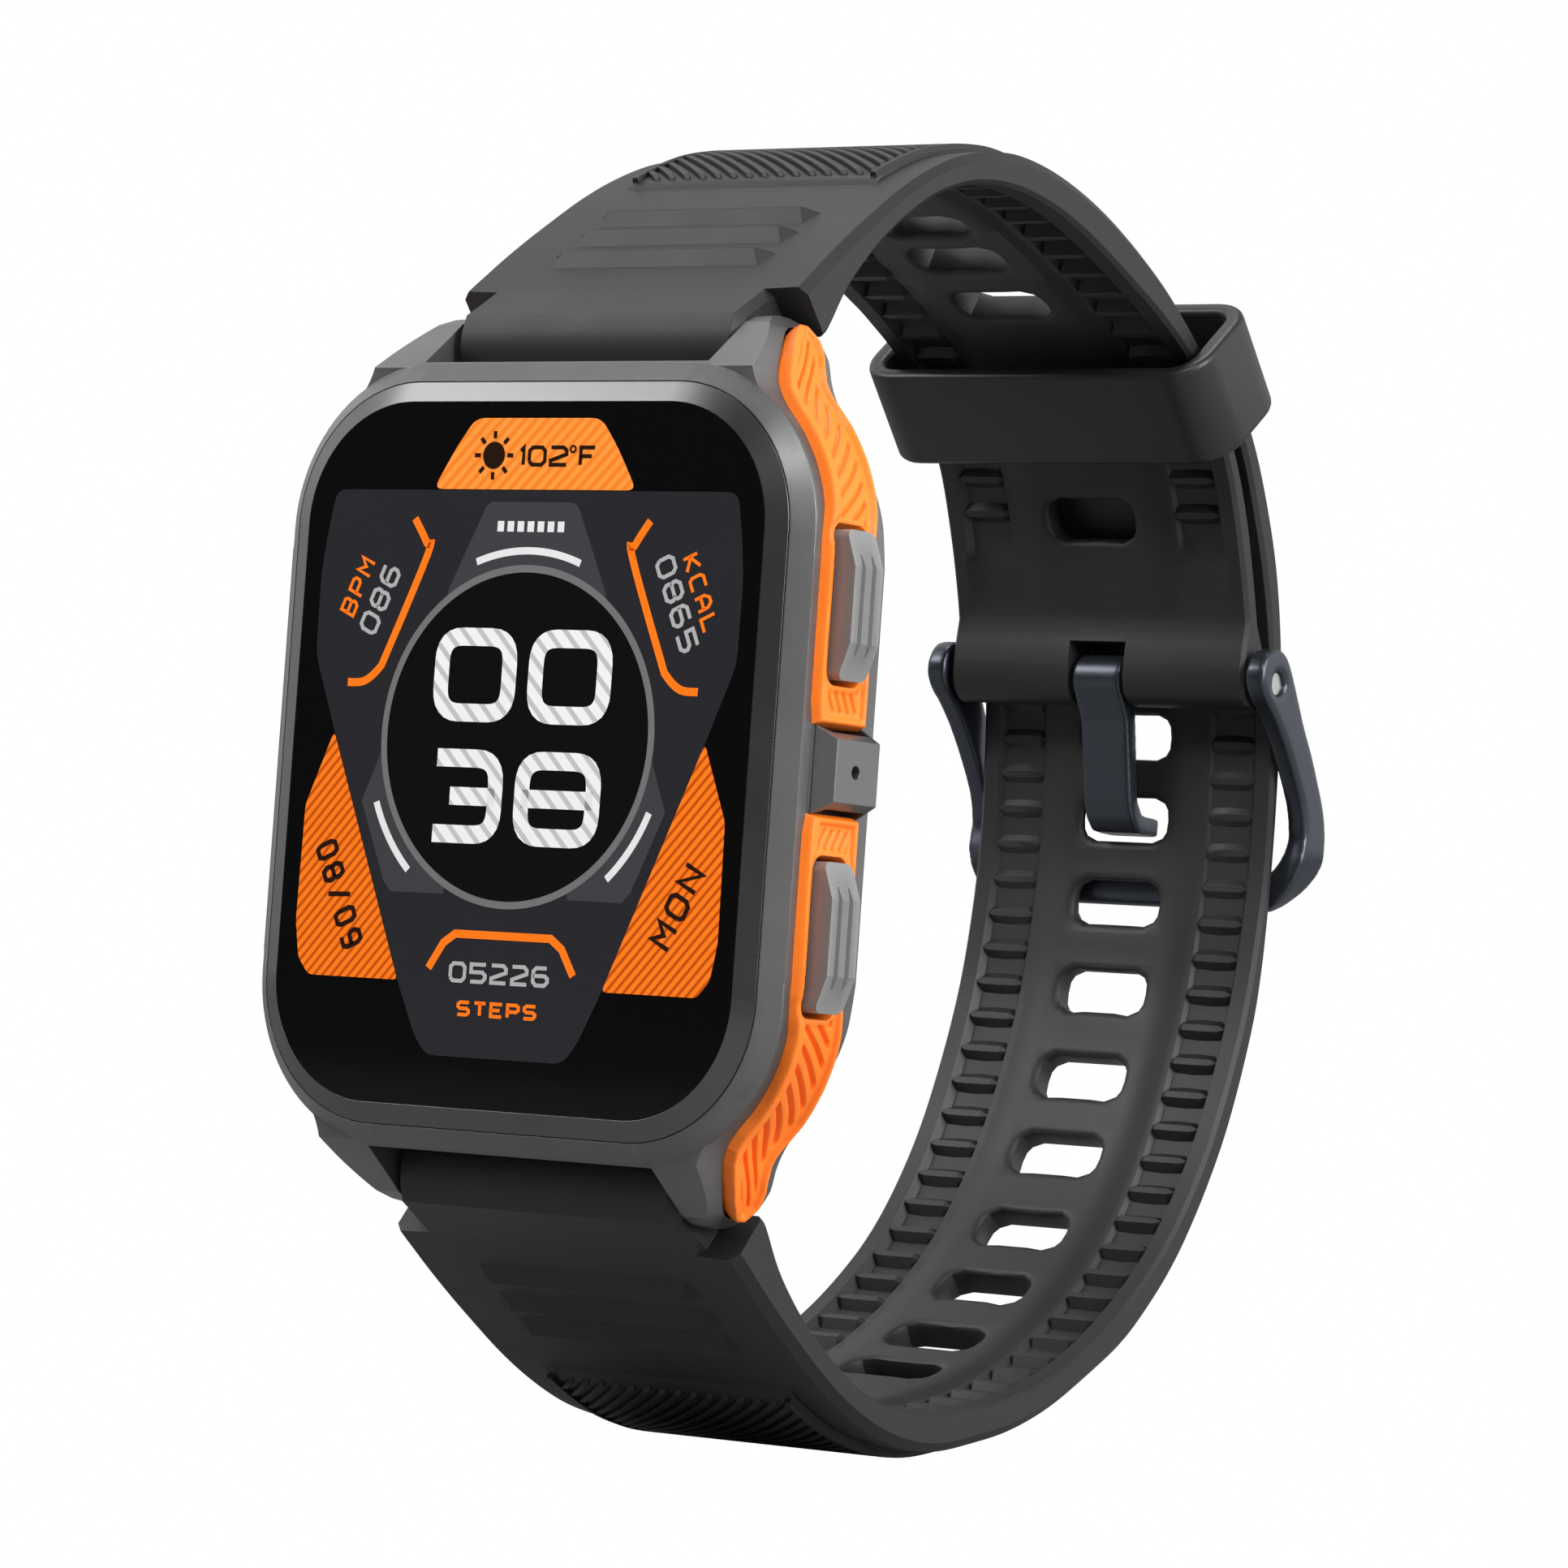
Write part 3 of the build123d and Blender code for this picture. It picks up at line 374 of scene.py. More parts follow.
# plain stroke letters in a box one wide and one high
C_ = 0.2
GLYPH = {
    "0": [[(0, C_), (C_, 0), (1 - C_, 0), (1, C_), (1, 1 - C_), (1 - C_, 1), (C_, 1), (0, 1 - C_), (0, C_)]],
    "1": [[(0.15, 0.8), (0.5, 1), (0.5, 0)]],
    "2": [[(0, 1), (0.8, 1), (1, 0.82), (1, 0.6), (0, 0.25), (0, 0), (1, 0)]],
    "3": [[(0, 1), (1 - C_, 1), (1, 1 - C_), (1, 0.62), (0.86, 0.5), (1, 0.38), (1, C_), (1 - C_, 0), (0, 0)], [(0.25, 0.5), (0.86, 0.5)]],
    "4": [[(0, 1), (0, 0.4), (1, 0.4)], [(0.75, 1), (0.75, 0)]],
    "5": [[(1, 1), (0, 1), (0, 0.55), (0.8, 0.55), (1, 0.38), (1, C_), (1 - C_, 0), (0, 0)]],
    "6": [[(0.9, 1), (C_, 1), (0, 1 - C_), (0, C_), (C_, 0), (1 - C_, 0), (1, C_), (1, 0.4), (0.8, 0.55), (0, 0.55)]],
    "8": [[(0.14, 0.5), (0, 0.38), (0, C_), (C_, 0), (1 - C_, 0), (1, C_), (1, 0.38), (0.86, 0.5), (1, 0.62), (1, 1 - C_),
           (1 - C_, 1), (C_, 1), (0, 1 - C_), (0, 0.62), (0.14, 0.5), (0.86, 0.5)]],
    "9": [[(0.1, 0), (1 - C_, 0), (1, C_), (1, 1 - C_), (1 - C_, 1), (C_, 1), (0, 1 - C_), (0, 0.6), (0.2, 0.45), (1, 0.45)]],
    "A": [[(0, 0), (0, 0.7), (0.3, 1), (0.7, 1), (1, 0.7), (1, 0)], [(0, 0.4), (1, 0.4)]],
    "B": [[(0, 0.5), (0.8, 0.5), (1, 0.38), (1, C_), (1 - C_, 0), (0, 0), (0, 1), (0.8, 1), (0.95, 0.85), (0.95, 0.65), (0.8, 0.5)]],
    "C": [[(1, 1), (C_, 1), (0, 1 - C_), (0, C_), (C_, 0), (1, 0)]],
    "E": [[(1, 1), (0, 1), (0, 0), (1, 0)], [(0, 0.5), (0.8, 0.5)]],
    "F": [[(1, 1), (0, 1), (0, 0)], [(0, 0.5), (0.8, 0.5)]],
    "K": [[(0, 1), (0, 0)], [(1, 1), (0.1, 0.5), (1, 0)]],
    "L": [[(0, 1), (0, 0), (1, 0)]],
    "M": [[(0, 0), (0, 1), (0.5, 0.5), (1, 1), (1, 0)]],
    "N": [[(0, 0), (0, 1), (1, 0), (1, 1)]],
    "O": [[(0, C_), (C_, 0), (1 - C_, 0), (1, C_), (1, 1 - C_), (1 - C_, 1), (C_, 1), (0, 1 - C_), (0, C_)]],
    "P": [[(0, 0), (0, 1), (0.8, 1), (1, 0.85), (1, 0.6), (0.8, 0.45), (0, 0.45)]],
    "S": [[(1, 1), (C_, 1), (0, 0.85), (0, 0.65), (0.2, 0.5), (0.8, 0.5), (1, 0.35), (1, 0.15), (0.8, 0), (0, 0)]],
    "T": [[(0, 1), (1, 1)], [(0.5, 1), (0.5, 0)]],
    "/": [[(0.1, -0.05), (0.9, 1.05)]],
    "o": [[(0.2, 0.75), (0.45, 1), (0.7, 0.75), (0.45, 0.5), (0.2, 0.75)]],
}


def text(F, s, x0, z0, wch, hch, gap, stroke, inkname, rot=0.0, centre=None, level=2):
    """Stroke text from (x0, z0), or centred on centre and turned by rot degrees."""
    total = len(s) * wch + (len(s) - 1) * gap
    ca, sa = math.cos(math.radians(rot)), math.sin(math.radians(rot))
    for i, ch in enumerate(s):
        for line in GLYPH.get(ch, []):
            pts = []
            for gx, gz in line:
                x = i * (wch + gap) + stroke / 2 + gx * (wch - stroke)
                z = stroke / 2 + gz * (hch - stroke)
                if centre:
                    x -= total / 2
                    z -= hch / 2
                    x, z = centre[0] + x * ca - z * sa, centre[1] + x * sa + z * ca
                else:
                    x, z = x0 + x, z0 + z
                pts.append((x, z))
            F.stroke(pts, stroke, inkname, level)


def big_digit(F, ch, x0, z0, wd, ht, st, inkname, level):
    """Large digit with rounded corners and one unbroken outline."""
    a, b, c, d = x0 + st / 2, x0 + wd - st / 2, z0 + st / 2, z0 + ht - st / 2
    if ch in "08":
        F.stroke(rounded([(a, d), (b, d), (b, c), (a, c)], 1.5, 6), st, inkname, level, closed=True)
    if ch == "3":
        q = [p for p in rounded([(a - 9, d), (b, d), (b, c), (a - 9, c)], 1.5, 6) if p[0] > a]
        F.stroke([(a, d)] + q + [(a, c)], st, inkname, level)
    if ch in "38":
        m = (c + d) / 2
        F.stroke([(a + (0.25 * (b - a) if ch == "3" else 0), m), (b, m)], st, inkname, level)


F = Flat()
mir = lambda pts: [(-x, z) for x, z in pts]
shield = [(-15.6, 16.3), (-16.1, 13.5), (-16.4, 11), (-16.35, 5.9), (-14.4, 1.1), (-7.96, -14.1), (-6.3, -17.5), (-5.3, -18.65)]
F.poly(rounded(shield + mir(shield)[::-1], 0.8), "panel", 0)
low = [(-10.5, 0), (-11.8, -3.15), (-9.6, -8.1), (-9, -8.7), (-4.8, -8.7), (-4.8, -5), (-7, 0)]
for q in (low, mir(low)):
    F.poly(q, "panel_light", 1)
F.poly(rounded([(-3.45, 15.58), (-6.3, 9.7), (6.3, 9.7), (3.45, 15.58)], 0.5), "panel_light", 1)
for i in range(7):
    F.poly([(-2.6 + i * 0.78, 13.75), (-2.1 + i * 0.78, 13.75), (-2.1 + i * 0.78, 14.4), (-2.6 + i * 0.78, 14.4)], "plain_white", 2)
F.poly(arc(0, 1.13, 10.58, 0, 357, 119), "grey", 2)
F.poly(arc(0, 1.13, 10.12, 0, 357, 119), "black", 3)
for a0, a1 in ((69.4, 110.6), (202.2, 227.6), (-47.6, -22.2)):
    F.stroke(arc(0, 1.13, 11.45, a0, a1, 20), 0.45, "plain_white", 3)
for x0, z0, w_, ch in ((-6.7, 1.96, 6.4, "0"), (0.65, 1.96, 6.4, "0"), (-6.54, -5.54, 5.8, "3"), (0.23, -5.54, 6.6, "8")):
    big_digit(F, ch, x0, z0, w_, 5.81, 1.12, "white", 5)
F.poly(rounded([(-7.85, 16.35), (7.88, 16.35), (6.3, 18.9), (4.85, 20.77), (-4.9, 20.77), (-6.3, 18.9)], 0.7), "orange_top", 2)
F.poly(arc(-3.27, 18.46, 0.85, 0, 345, 23), "dark_text", 4)
for k in range(8):
    a = math.radians(k * 45)
    F.stroke([(-3.27 + 1.05 * math.cos(a), 18.46 + 1.05 * math.sin(a)), (-3.27 + 1.5 * math.cos(a), 18.46 + 1.5 * math.sin(a))], 0.26, "dark_text", 4)
text(F, "1", -1.4, 17.77, 0.9, 1.31, 0.2, 0.24, "dark_text", level=4)
text(F, "02", -0.62, 17.77, 1.45, 1.31, 0.22, 0.24, "dark_text", level=4)
F.stroke(arc(2.86, 18.86, 0.2, 0, 330, 11), 0.13, "dark_text", 4, closed=True)
text(F, "F", 3.35, 17.77, 1.3, 1.31, 0.2, 0.24, "dark_text", level=4)
side = [(-14.42, 1.08), (-16.3, -3.54), (-16.4, -10.8), (-16, -13.1), (-15.1, -14.15), (-7.96, -14.15)]
F.poly(rounded(side, 0.35, 3), "orange_stripe", 2)
F.poly(rounded(mir(side), 0.35, 3), "orange_stripe", 2)
text(F, "08/09", 0, 0, 1.12, 1.75, 0.36, 0.3, "dark_text", rot=-66, centre=(285 / 26 - 24, 30 - 1015 / 26), level=4)
text(F, "MON", 0, 0, 1.5, 1.75, 0.45, 0.3, "dark_text", rot=64, centre=(968 / 26 - 24, 30 - 1008 / 26), level=4)
hook = [(-9.15, 14.5), (-8.1, 13.0), (-7.95, 12.3), (-10.6, 6.2), (-11.2, 5.1), (-12.3, 4.3), (-13.6, 4.2)]
for q in (hook, mir(hook)):
    F.stroke([tuple(t) for t in smooth_line(q, 5)], 0.5, "orange", 3)
text(F, "BPM", 0, 0, 1.05, 1.25, 0.32, 0.2, "orange", rot=66, centre=(277 / 26 - 24, 30 - 515 / 26), level=3)
text(F, "086", 0, 0, 1.3, 1.5, 0.32, 0.24, "silver", rot=66, centre=(325 / 26 - 24, 30 - 535 / 26), level=3)
text(F, "KCAL", 0, 0, 1.0, 1.25, 0.32, 0.2, "orange", rot=-66, centre=(970 / 26 - 24, 30 - 515 / 26), level=3)
text(F, "0865", 0, 0, 1.3, 1.5, 0.32, 0.24, "silver", rot=-66, centre=(925 / 26 - 24, 30 - 533 / 26), level=3)
F.stroke([(-5.54, -13.3), (-4.5, -11.7), (-3.6, -11.1), (3.8, -11.1), (4.7, -11.7), (5.7, -13.3)], 0.5, "orange", 3)
text(F, "05226", -3.9, -14.1, 1.35, 1.3, 0.26, 0.24, "silver", level=3)
text(F, "STEPS", -3.1, -16.15, 1.05, 0.98, 0.24, 0.22, "orange", level=3)
F.make()

# ------------------------------------------------------------------ straps
class Line:
    """A curve in (depth, z) by arc length, with the outward normal on its left or right."""

    def __init__(self, pts, side):
        self.p = smooth_line(pts)
        seg = np.hypot(*np.diff(self.p, axis=0).T)
        self.s = np.concatenate([[0], np.cumsum(seg)])
        self.len = self.s[-1]
        self.side = side

    def at(self, s):
        return np.array([np.interp(s, self.s, self.p[:, 0]), np.interp(s, self.s, self.p[:, 1])])

    def tan(self, s):
        t = self.at(min(s + 0.15, self.len)) - self.at(max(s - 0.15, 0))
        return t / np.hypot(*t)

    def nrm(self, s):
        t = self.tan(s)
        return np.array([-t[1], t[0]]) * self.side

    def near(self, q):
        k = np.argmin(np.hypot(self.p[:, 0] - q[0], self.p[:, 1] - q[1]))
        return self.s[k]

    def meet(self, p, n, s_from):
        """Arc length where the line from p along -n crosses this curve, beyond s_from."""
        t = np.array([-n[1], n[0]])
        side_ = (self.p - p) @ t
        best = None
        for i in range(len(self.p) - 1):
            if side_[i] * side_[i + 1] <= 0 and side_[i] != side_[i + 1]:
                f_ = side_[i] / (side_[i] - side_[i + 1])
                s_ = self.s[i] + f_ * (self.s[i + 1] - self.s[i])
                dist = np.hypot(*(self.at(s_) - p))
                if dist < 9 and s_ > s_from - 0.3 and (best is None or dist < best[0]):
                    best = (dist, s_)
        return best[1] if best else None


TOP_OUT = [(7.6, 29.85), (9.0, 30.95), (10.66, 32.25), (12.7, 33.75), (14.8, 35.2),
           (18.0, 37.3), (21.1, 39.0), (24.4, 40.4), (27.4, 41.2), (30.0, 41.6), (32.5, 41.7),
           (36.0, 41.35), (39.8, 40.5), (43.7, 39.2), (47.7, 37.4), (51.8, 35.1), (55.4, 32.3),
           (58.5, 28.9), (61.0, 25.2), (62.9, 21.2), (64.2, 17.2), (65.0, 14.4)]
TOP_IN = [(9.97, 27.07), (10.6, 27.6), (12.6, 30.5), (15.9, 33.7), (19.6, 36.3), (23.1, 38.05), (27.2, 39.15), (31.3, 39.4), (35.4, 38.95),
          (39.5, 37.9), (43.6, 36.4), (47.6, 34.7), (49.8, 33.7), (54.0, 31.3), (57.2, 28.2), (59.8, 24.4),
          (61.6, 20.2), (62.8, 16.6), (63.4, 14.4)]
BOT_OUT = [(7.6, -29.85), (9.0, -30.95), (10.66, -32.25), (12.7, -33.75), (14.8, -35.2),
           (18.0, -37.3), (21.1, -39.0), (24.4, -40.4), (27.4, -41.2), (30.0, -41.6), (33.0, -41.65),
           (36.6, -41.2), (41.1, -40.4), (45.7, -38.95), (50.2, -36.8), (54.5, -34.4), (57.8, -31.65), (60.3, -28.9),
           (62.25, -26.1), (63.9, -23.3), (65.35, -20.45), (66.45, -17.65), (67.35, -14.85), (68.1, -12.0),
           (68.48, -9.15), (68.66, -6.3), (68.75, -2.0), (68.78, 3.0), (68.65, 9.0),
           (68.1, 14.0), (67.05, 18.6), (65.35, 22.8), (63.1, 26.8), (60.2, 30.46), (58.65, 32.17)]
BOT_IN = [(9.97, -27.07), (10.6, -27.5), (12.6, -30.3), (15.9, -33.4), (19.4, -35.8), (23.1, -37.75), (27.2, -38.85), (31.3, -39.2),
          (35.4, -38.95), (39.5, -38.35), (44.2, -37.2), (49.3, -35.0), (54.3, -31.7), (58.6, -27.7),
          (62.2, -22.5), (64.7, -17.0), (66.6, -11.0), (67.6, -5.0), (67.95, -0.5), (67.85, 4.0), (67.4, 9.0), (66.6, 13.5),
          (65.3, 17.9), (63.6, 22.0), (61.6, 25.9), (58.99, 29.42), (57.44, 31.12)]
HUB_OUT = [(6.3, 23.3), (5.2, 23.65), (4.4, 24.6), (4.12, 25.7), (4.2, 26.8), (4.55, 27.9), (6.0, 28.8), (7.45, 29.75)]
HUB_IN = [(6.3, 23.3), (7.4, 23.45), (8.3, 24.0), (8.9, 24.8), (9.4, 25.6), (9.75, 26.2), (9.85, 26.7), (9.9, 27.0)]
WIDTH = [(0, 13.45), (8, 13.45), (14, 13.15), (21, 12.85), (30, 12.5), (45, 12.15), (58, 12), (80, 12)]
COLS = [0, 1.4, 2.8, 4.2, 5.6, 6.15, 6.8, 7.05, 8.6, 10.2, 10.6, 11.1]
SLOT_HX, SLOT_HS, WIN_X, WIN_S, SLOT_R = 3.5, 1.55, 4.2, 2.2, 1.2


def half_width(d):
    return float(np.interp(d, [q[0] for q in WIDTH], [q[1] for q in WIDTH]))


def margin(d):
    """Chamfered edge strip drops a little below the middle from the lugs outwards."""
    return float(np.interp(d, [8, 15, 24], [0.0, 0.0, 0.12]))


def strap_mesh(name, mat, body, OUT, IN, sgn, slots, serr, hub_in, hub_out, tail=None, notch=None, band=None):
    """One strap as a closed mesh: outer face, chamfers, side faces, relieved inner face, rounded slots."""
    side = 1 if sgn > 0 else -1
    o, i_ = Line(OUT, side), Line(IN, side)
    marks = []
    for q in slots:
        marks.append(o.near(q))
    ss = []
    s = 0.0
    zones = sorted(marks)
    while s < o.len - 1e-6:
        ss.append(s)
        s += 0.8
    ss.append(o.len)
    ss = [v for v in ss if all(abs(v - m) > WIN_S + 0.3 for m in zones)]
    for m in zones:
        ss += [m - WIN_S, m - WIN_S / 2, m, m + WIN_S / 2, m + WIN_S]
    ss = sorted(ss)
    st = []
    for (od, oz), (id_, iz) in zip(hub_out, hub_in):
        st.append(dict(O=np.array([od, oz * sgn]), I=np.array([id_, iz * sgn]), w=10.95, s=-1.0, hub=True))
    last = 0.0
    for k, s in enumerate(ss):
        O = o.at(s)
        n = o.nrm(s)
        if k == 0:
            I, s_i = i_.at(0), 0.0
        elif k == len(ss) - 1:
            I, s_i = i_.at(i_.len), i_.len
        else:
            f_ = min(1.0, s / 8.0)
            s_i = i_.meet(O, n, last)
            if s_i is None:
                s_i = last + 0.3
            s_i = max(s_i, last + 0.02)
            s_i = min(s_i, i_.len - 0.01)
            I = i_.at(s_i)
        last = s_i
        st.append(dict(O=O, I=I, w=half_width(O[0]), s=s, hub=False))
    if tail:
        st += [dict(O=np.array(a), I=np.array(b), w=w_, s=o.len + 1 + t, hub=False) for t, (a, b, w_) in enumerate(tail)]
    for j, q in enumerate(st):
        u = q["O"] - q["I"]
        l = np.hypot(*u)
        if l < 1e-6:
            a, b = st[max(j - 1, 0)], st[min(j + 1, len(st) - 1)]
            mid_o = (a["O"] + a["I"]) / 2 - (b["O"] + b["I"]) / 2
            t = mid_o / np.hypot(*mid_o)
            u, l = np.array([-t[1], t[0]]), 1.0
            q["thin"] = True
        q["n"] = u / l
        q["t"] = np.hypot(*(q["O"] - q["I"]))
    s0, s1 = serr
    if notch:
        notch = len(st) - len(tail)
    rows = []
    verts, faces = [], []
    nx = len(COLS)
    for q in st:
        n, th, w_ = q["n"], q["t"], q["w"]
        k = 1.0 if w_ >= 11.9 else w_ / 12.0
        tail_row = notch and q["s"] > o.len + 0.5
        ch = min(0.6, th * 0.3)
        xo = [c * k for c in COLS]
        if not q["hub"]:
            xo[-1] = w_ - 0.95
        if tail_row:
            xo[1], xo[2] = 1.2, 2.3
        outer = [(x, 0.0) for x in xo] + [(w_ - 0.55 * k, 0.0), (w_, -ch)]
        rel = [0.0] * nx
        if s0 < q["s"] < s1:
            rel = [0, 0, 0, 0, 0.0, 0.35, 0.35, 0.85, 0.85, 0.85, 0.0, 0.0]
        elif band and s1 <= q["s"] < band:
            rel = [0, 0, 0, 0, 0.0, 0.35, 0.35, 0.35, 0.35, 0.3, 0.0, 0.0]
        elif band and band <= q["s"] <= o.len + 0.1:
            rel = [0.3 * (1 - 0.7 * (q["s"] - band) / (o.len - band))] * nx
        relief = min(1.0, th / 2.6)
        inner = [(w_, min(0.28, th * 0.25)), (w_ - 0.28 * k, 0.0)] + [(x, r_ * relief) for x, r_ in zip(xo, rel)][::-1]
        row = []
        for x, h in outer:
            p = q["O"] + n * h
            row.append((x, p[0], p[1]))
        for x, h in inner:
            p = q["I"] + n * h
            row.append((x, p[0], p[1]))
        rows.append(row)
    # full loop: right outer .. right inner, then left mirrored
    m = len(rows[0])
    half = m // 2

    def vid(j, k, sx):
        return (j * m + k) * 2 + (0 if sx > 0 else 1)

    for row in rows:
        for x, d, z in row:
            verts.append(P(x, d, z))
            verts.append(P(-x, d, z))
    holes = []
    for mk in zones:
        j0 = min(range(len(st)), key=lambda j: abs(st[j]["s"] - (mk - WIN_S)))
        holes.append((j0, j0 + 4))
    def cell_gone(j, k, inner):
        kk = k if not inner else m - 2 - k
        if notch and j >= notch and kk < 2:
            return True
        return any(a <= j < b and kk < 3 for a, b in holes)
    nst = len(rows)
    for j in range(nst - 1):
        for k in range(m - 1):
            inner = k >= half
            if cell_gone(j, k, inner):
                continue
            for sx in (1, -1):
                a, b, c, d = vid(j, k, sx), vid(j + 1, k, sx), vid(j + 1, k + 1, sx), vid(j, k + 1, sx)
                faces.append((a, b, c, d) if sx > 0 else (d, c, b, a))
    for j, flip in ((0, False), (nst - 1, True)):       # ends
        if st[j]["t"] < 1e-6:
            continue
        for k in range(half):
            if notch and j == nst - 1 and k < 2:
                continue
            for sx in (1, -1):
                if k + 1 < half + 1 and m - 1 - k - 1 >= half - 1:
                    a, b, c, d = vid(j, k, sx), vid(j, k + 1, sx), vid(j, m - 2 - k, sx), vid(j, m - 1 - k, sx)
                    if k + 1 >= half:
                        continue
                    faces.append((a, b, c, d))
    if notch:                                           # walls of the tang notch
        for sx in (1, -1):
            for j in range(notch, nst - 1):
                faces.append((vid(j, 2, sx), vid(j + 1, 2, sx), vid(j + 1, m - 3, sx), vid(j, m - 3, sx)))
        for k in range(2):
            for sx in (1, -1):
                faces.append((vid(notch, k, sx), vid(notch, k + 1, sx), vid(notch, m - 2 - k, sx), vid(notch, m - 1 - k, sx)))
    # slots with rounded rims
    for j0, j1 in holes:
        jc = j0 + 2
        q = st[jc]
        tanv = np.array([-q["n"][1], q["n"][0]])
        loop = [(j0, k, 1) for k in range(0, 4)] + [(j, 3, 1) for j in range(j0 + 1, j1)] + [(j1, k, 1) for k in range(3, -1, -1)]
        loop += [(j1, k, -1) for k in range(1, 4)] + [(j, 3, -1) for j in range(j1 - 1, j0, -1)] + [(j0, k, -1) for k in range(3, 0, -1)]
        rims = []
        for face_side in (0, 1):
            base = []
            for j, k, sx in loop:
                kk = k if face_side == 0 else m - 1 - k
                base.append(vid(j, kk, sx))
            pts = [np.array(verts[b]) / MM for b in base]
            cen2 = (q["O"] if face_side == 0 else q["I"])
            nn = q["n"] * (1 if face_side == 0 else -1)
            rings = [base]
            # target angles on the rounded rectangle
            for ring_off, depth in ((0.5, 0.0), (0.22, 0.07), (0.06, 0.22), (0.0, 0.5)):
                ids = []
                for p in pts:
                    x = p[0]
                    dz = np.array([p[1] + DEPTH0, p[2]]) - cen2
                    sc = float(dz @ tanv)
                    hn = float(dz @ q["n"])
                    hx, hs, r = SLOT_HX + ring_off, SLOT_HS + ring_off, SLOT_R + ring_off
                    tx, ts = x * (hx / WIN_X), sc * (hs / WIN_S)
                    ax, as_ = abs(tx), abs(ts)
                    if ax > hx - r and as_ > hs - r:
                        vx, vs = ax - (hx - r), as_ - (hs - r)
                        l = math.hypot(vx, vs) or 1
                        ax, as_ = hx - r + vx / l * r, hs - r + vs / l * r
                    tx, ts = math.copysign(ax, tx), math.copysign(as_, ts)
                    f_ = abs(sc) / WIN_S
                    g = cen2 + tanv * ts + q["n"] * hn * (ts / sc if abs(sc) > 1e-6 else 1) ** 2 - nn * depth
                    ids.append(len(verts))
                    verts.append(P(tx, g[0], g[1]))
                rings.append(ids)
            for a, b in zip(rings, rings[1:]):
                nL = len(a)
                for e in range(nL):
                    e2 = (e + 1) % nL
                    faces.append((a[e], a[e2], b[e2], b[e]))
            rims.append(rings[-1])
        nL = len(rims[0])
        for e in range(nL):
            e2 = (e + 1) % nL
            faces.append((rims[0][e], rims[0][e2], rims[1][e2], rims[1][e]))
    ob = new_mesh(name, verts, faces, mat, body, sharp=32)
    return ob, o, i_


ROLL_OUT = [(65.0, 14.4), (65.9, 12.9), (66.5, 11.5), (66.75, 10.5), (66.4, 9.4), (65.6, 8.8), (64.9, 8.65)]
ROLL_IN = [(63.4, 14.4), (63.2, 13.0), (63.05, 11.6), (63.05, 10.5), (63.35, 9.5), (64.0, 8.9), (64.9, 8.65)]
roll = [(a, b, 12.0) for a, b in zip(ROLL_OUT[1:], ROLL_IN[1:])]
TOP_SLOTS = [(61.27, 21.09), (48.94, 34.46), (43.55, 37.12), (39.0, 38.6)]
HOLE_SLOTS = [(67.6, 6.6), (68.0, 0.83), (67.56, -4.96), (66.56, -10.99), (64.73, -16.91),
              (62.28, -22.59), (58.89, -27.68), (54.66, -31.9), (49.52, -35.24), (44.54, -37.45)]
top_o = Line(TOP_OUT, 1)
top_strap, top_o, top_i = strap_mesh("buckle_strap_body", M["rubber"], "top_strap", TOP_OUT, TOP_IN, 1, TOP_SLOTS,
                                     (top_o.near((20, 38)), top_o.near((63.6, 19.1))), HUB_IN, HUB_OUT, tail=roll, notch=1, band=top_o.near((64.55, 16.0)))
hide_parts("buckle_strap")
bot_o = Line(BOT_OUT, -1)
tip = [((58.3, 32.35), (57.3, 31.5), 11.2), ((57.95, 32.4), (57.35, 31.85), 9.4)]
bot_strap, bot_o, bot_i = strap_mesh("hole_strap_body", M["rubber"], "bottom_strap", BOT_OUT, BOT_IN, -1, HOLE_SLOTS,
                                     (bot_o.near((18, -37)), bot_o.near((60.2, 30.4))), HUB_IN, HUB_OUT, tail=tip)
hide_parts("hole_strap")


def surf_pt(line, s, h, x):
    p = line.at(s) + line.nrm(s) * h
    return P(x, p[0], p[1])


def wedge_piece(name, line, s_r, body):
    """Raised wedge across the strap: rises to a ridge and drops steeply."""
    rowsw = [(s_r - 1.2, -0.3, 8.2), (s_r - 1.2, -0.02, 8.2), (s_r - 0.1, 0.68, 7.5), (s_r + 0.03, 0.68, 7.5),
             (s_r + 0.3, 0.0, 8.7), (s_r + 0.3, -0.3, 8.7)]
    v, f = [], []
    for s, h, hx in rowsw:
        for t in range(13):
            v.append(surf_pt(line, s, h, hx * (t / 6 - 1)))
    n = len(rowsw)
    for a in range(n):
        b = (a + 1) % n
        for t in range(12):
            f.append((a * 13 + t, a * 13 + t + 1, b * 13 + t + 1, b * 13 + t))
    f.append(tuple(a * 13 for a in range(n)))
    f.append(tuple(a * 13 + 12 for a in range(n))[::-1])
    o_ = new_mesh(name, v, f, M["rubber"], body, sharp=25)
    bevel(o_, 0.06, 2, 25)


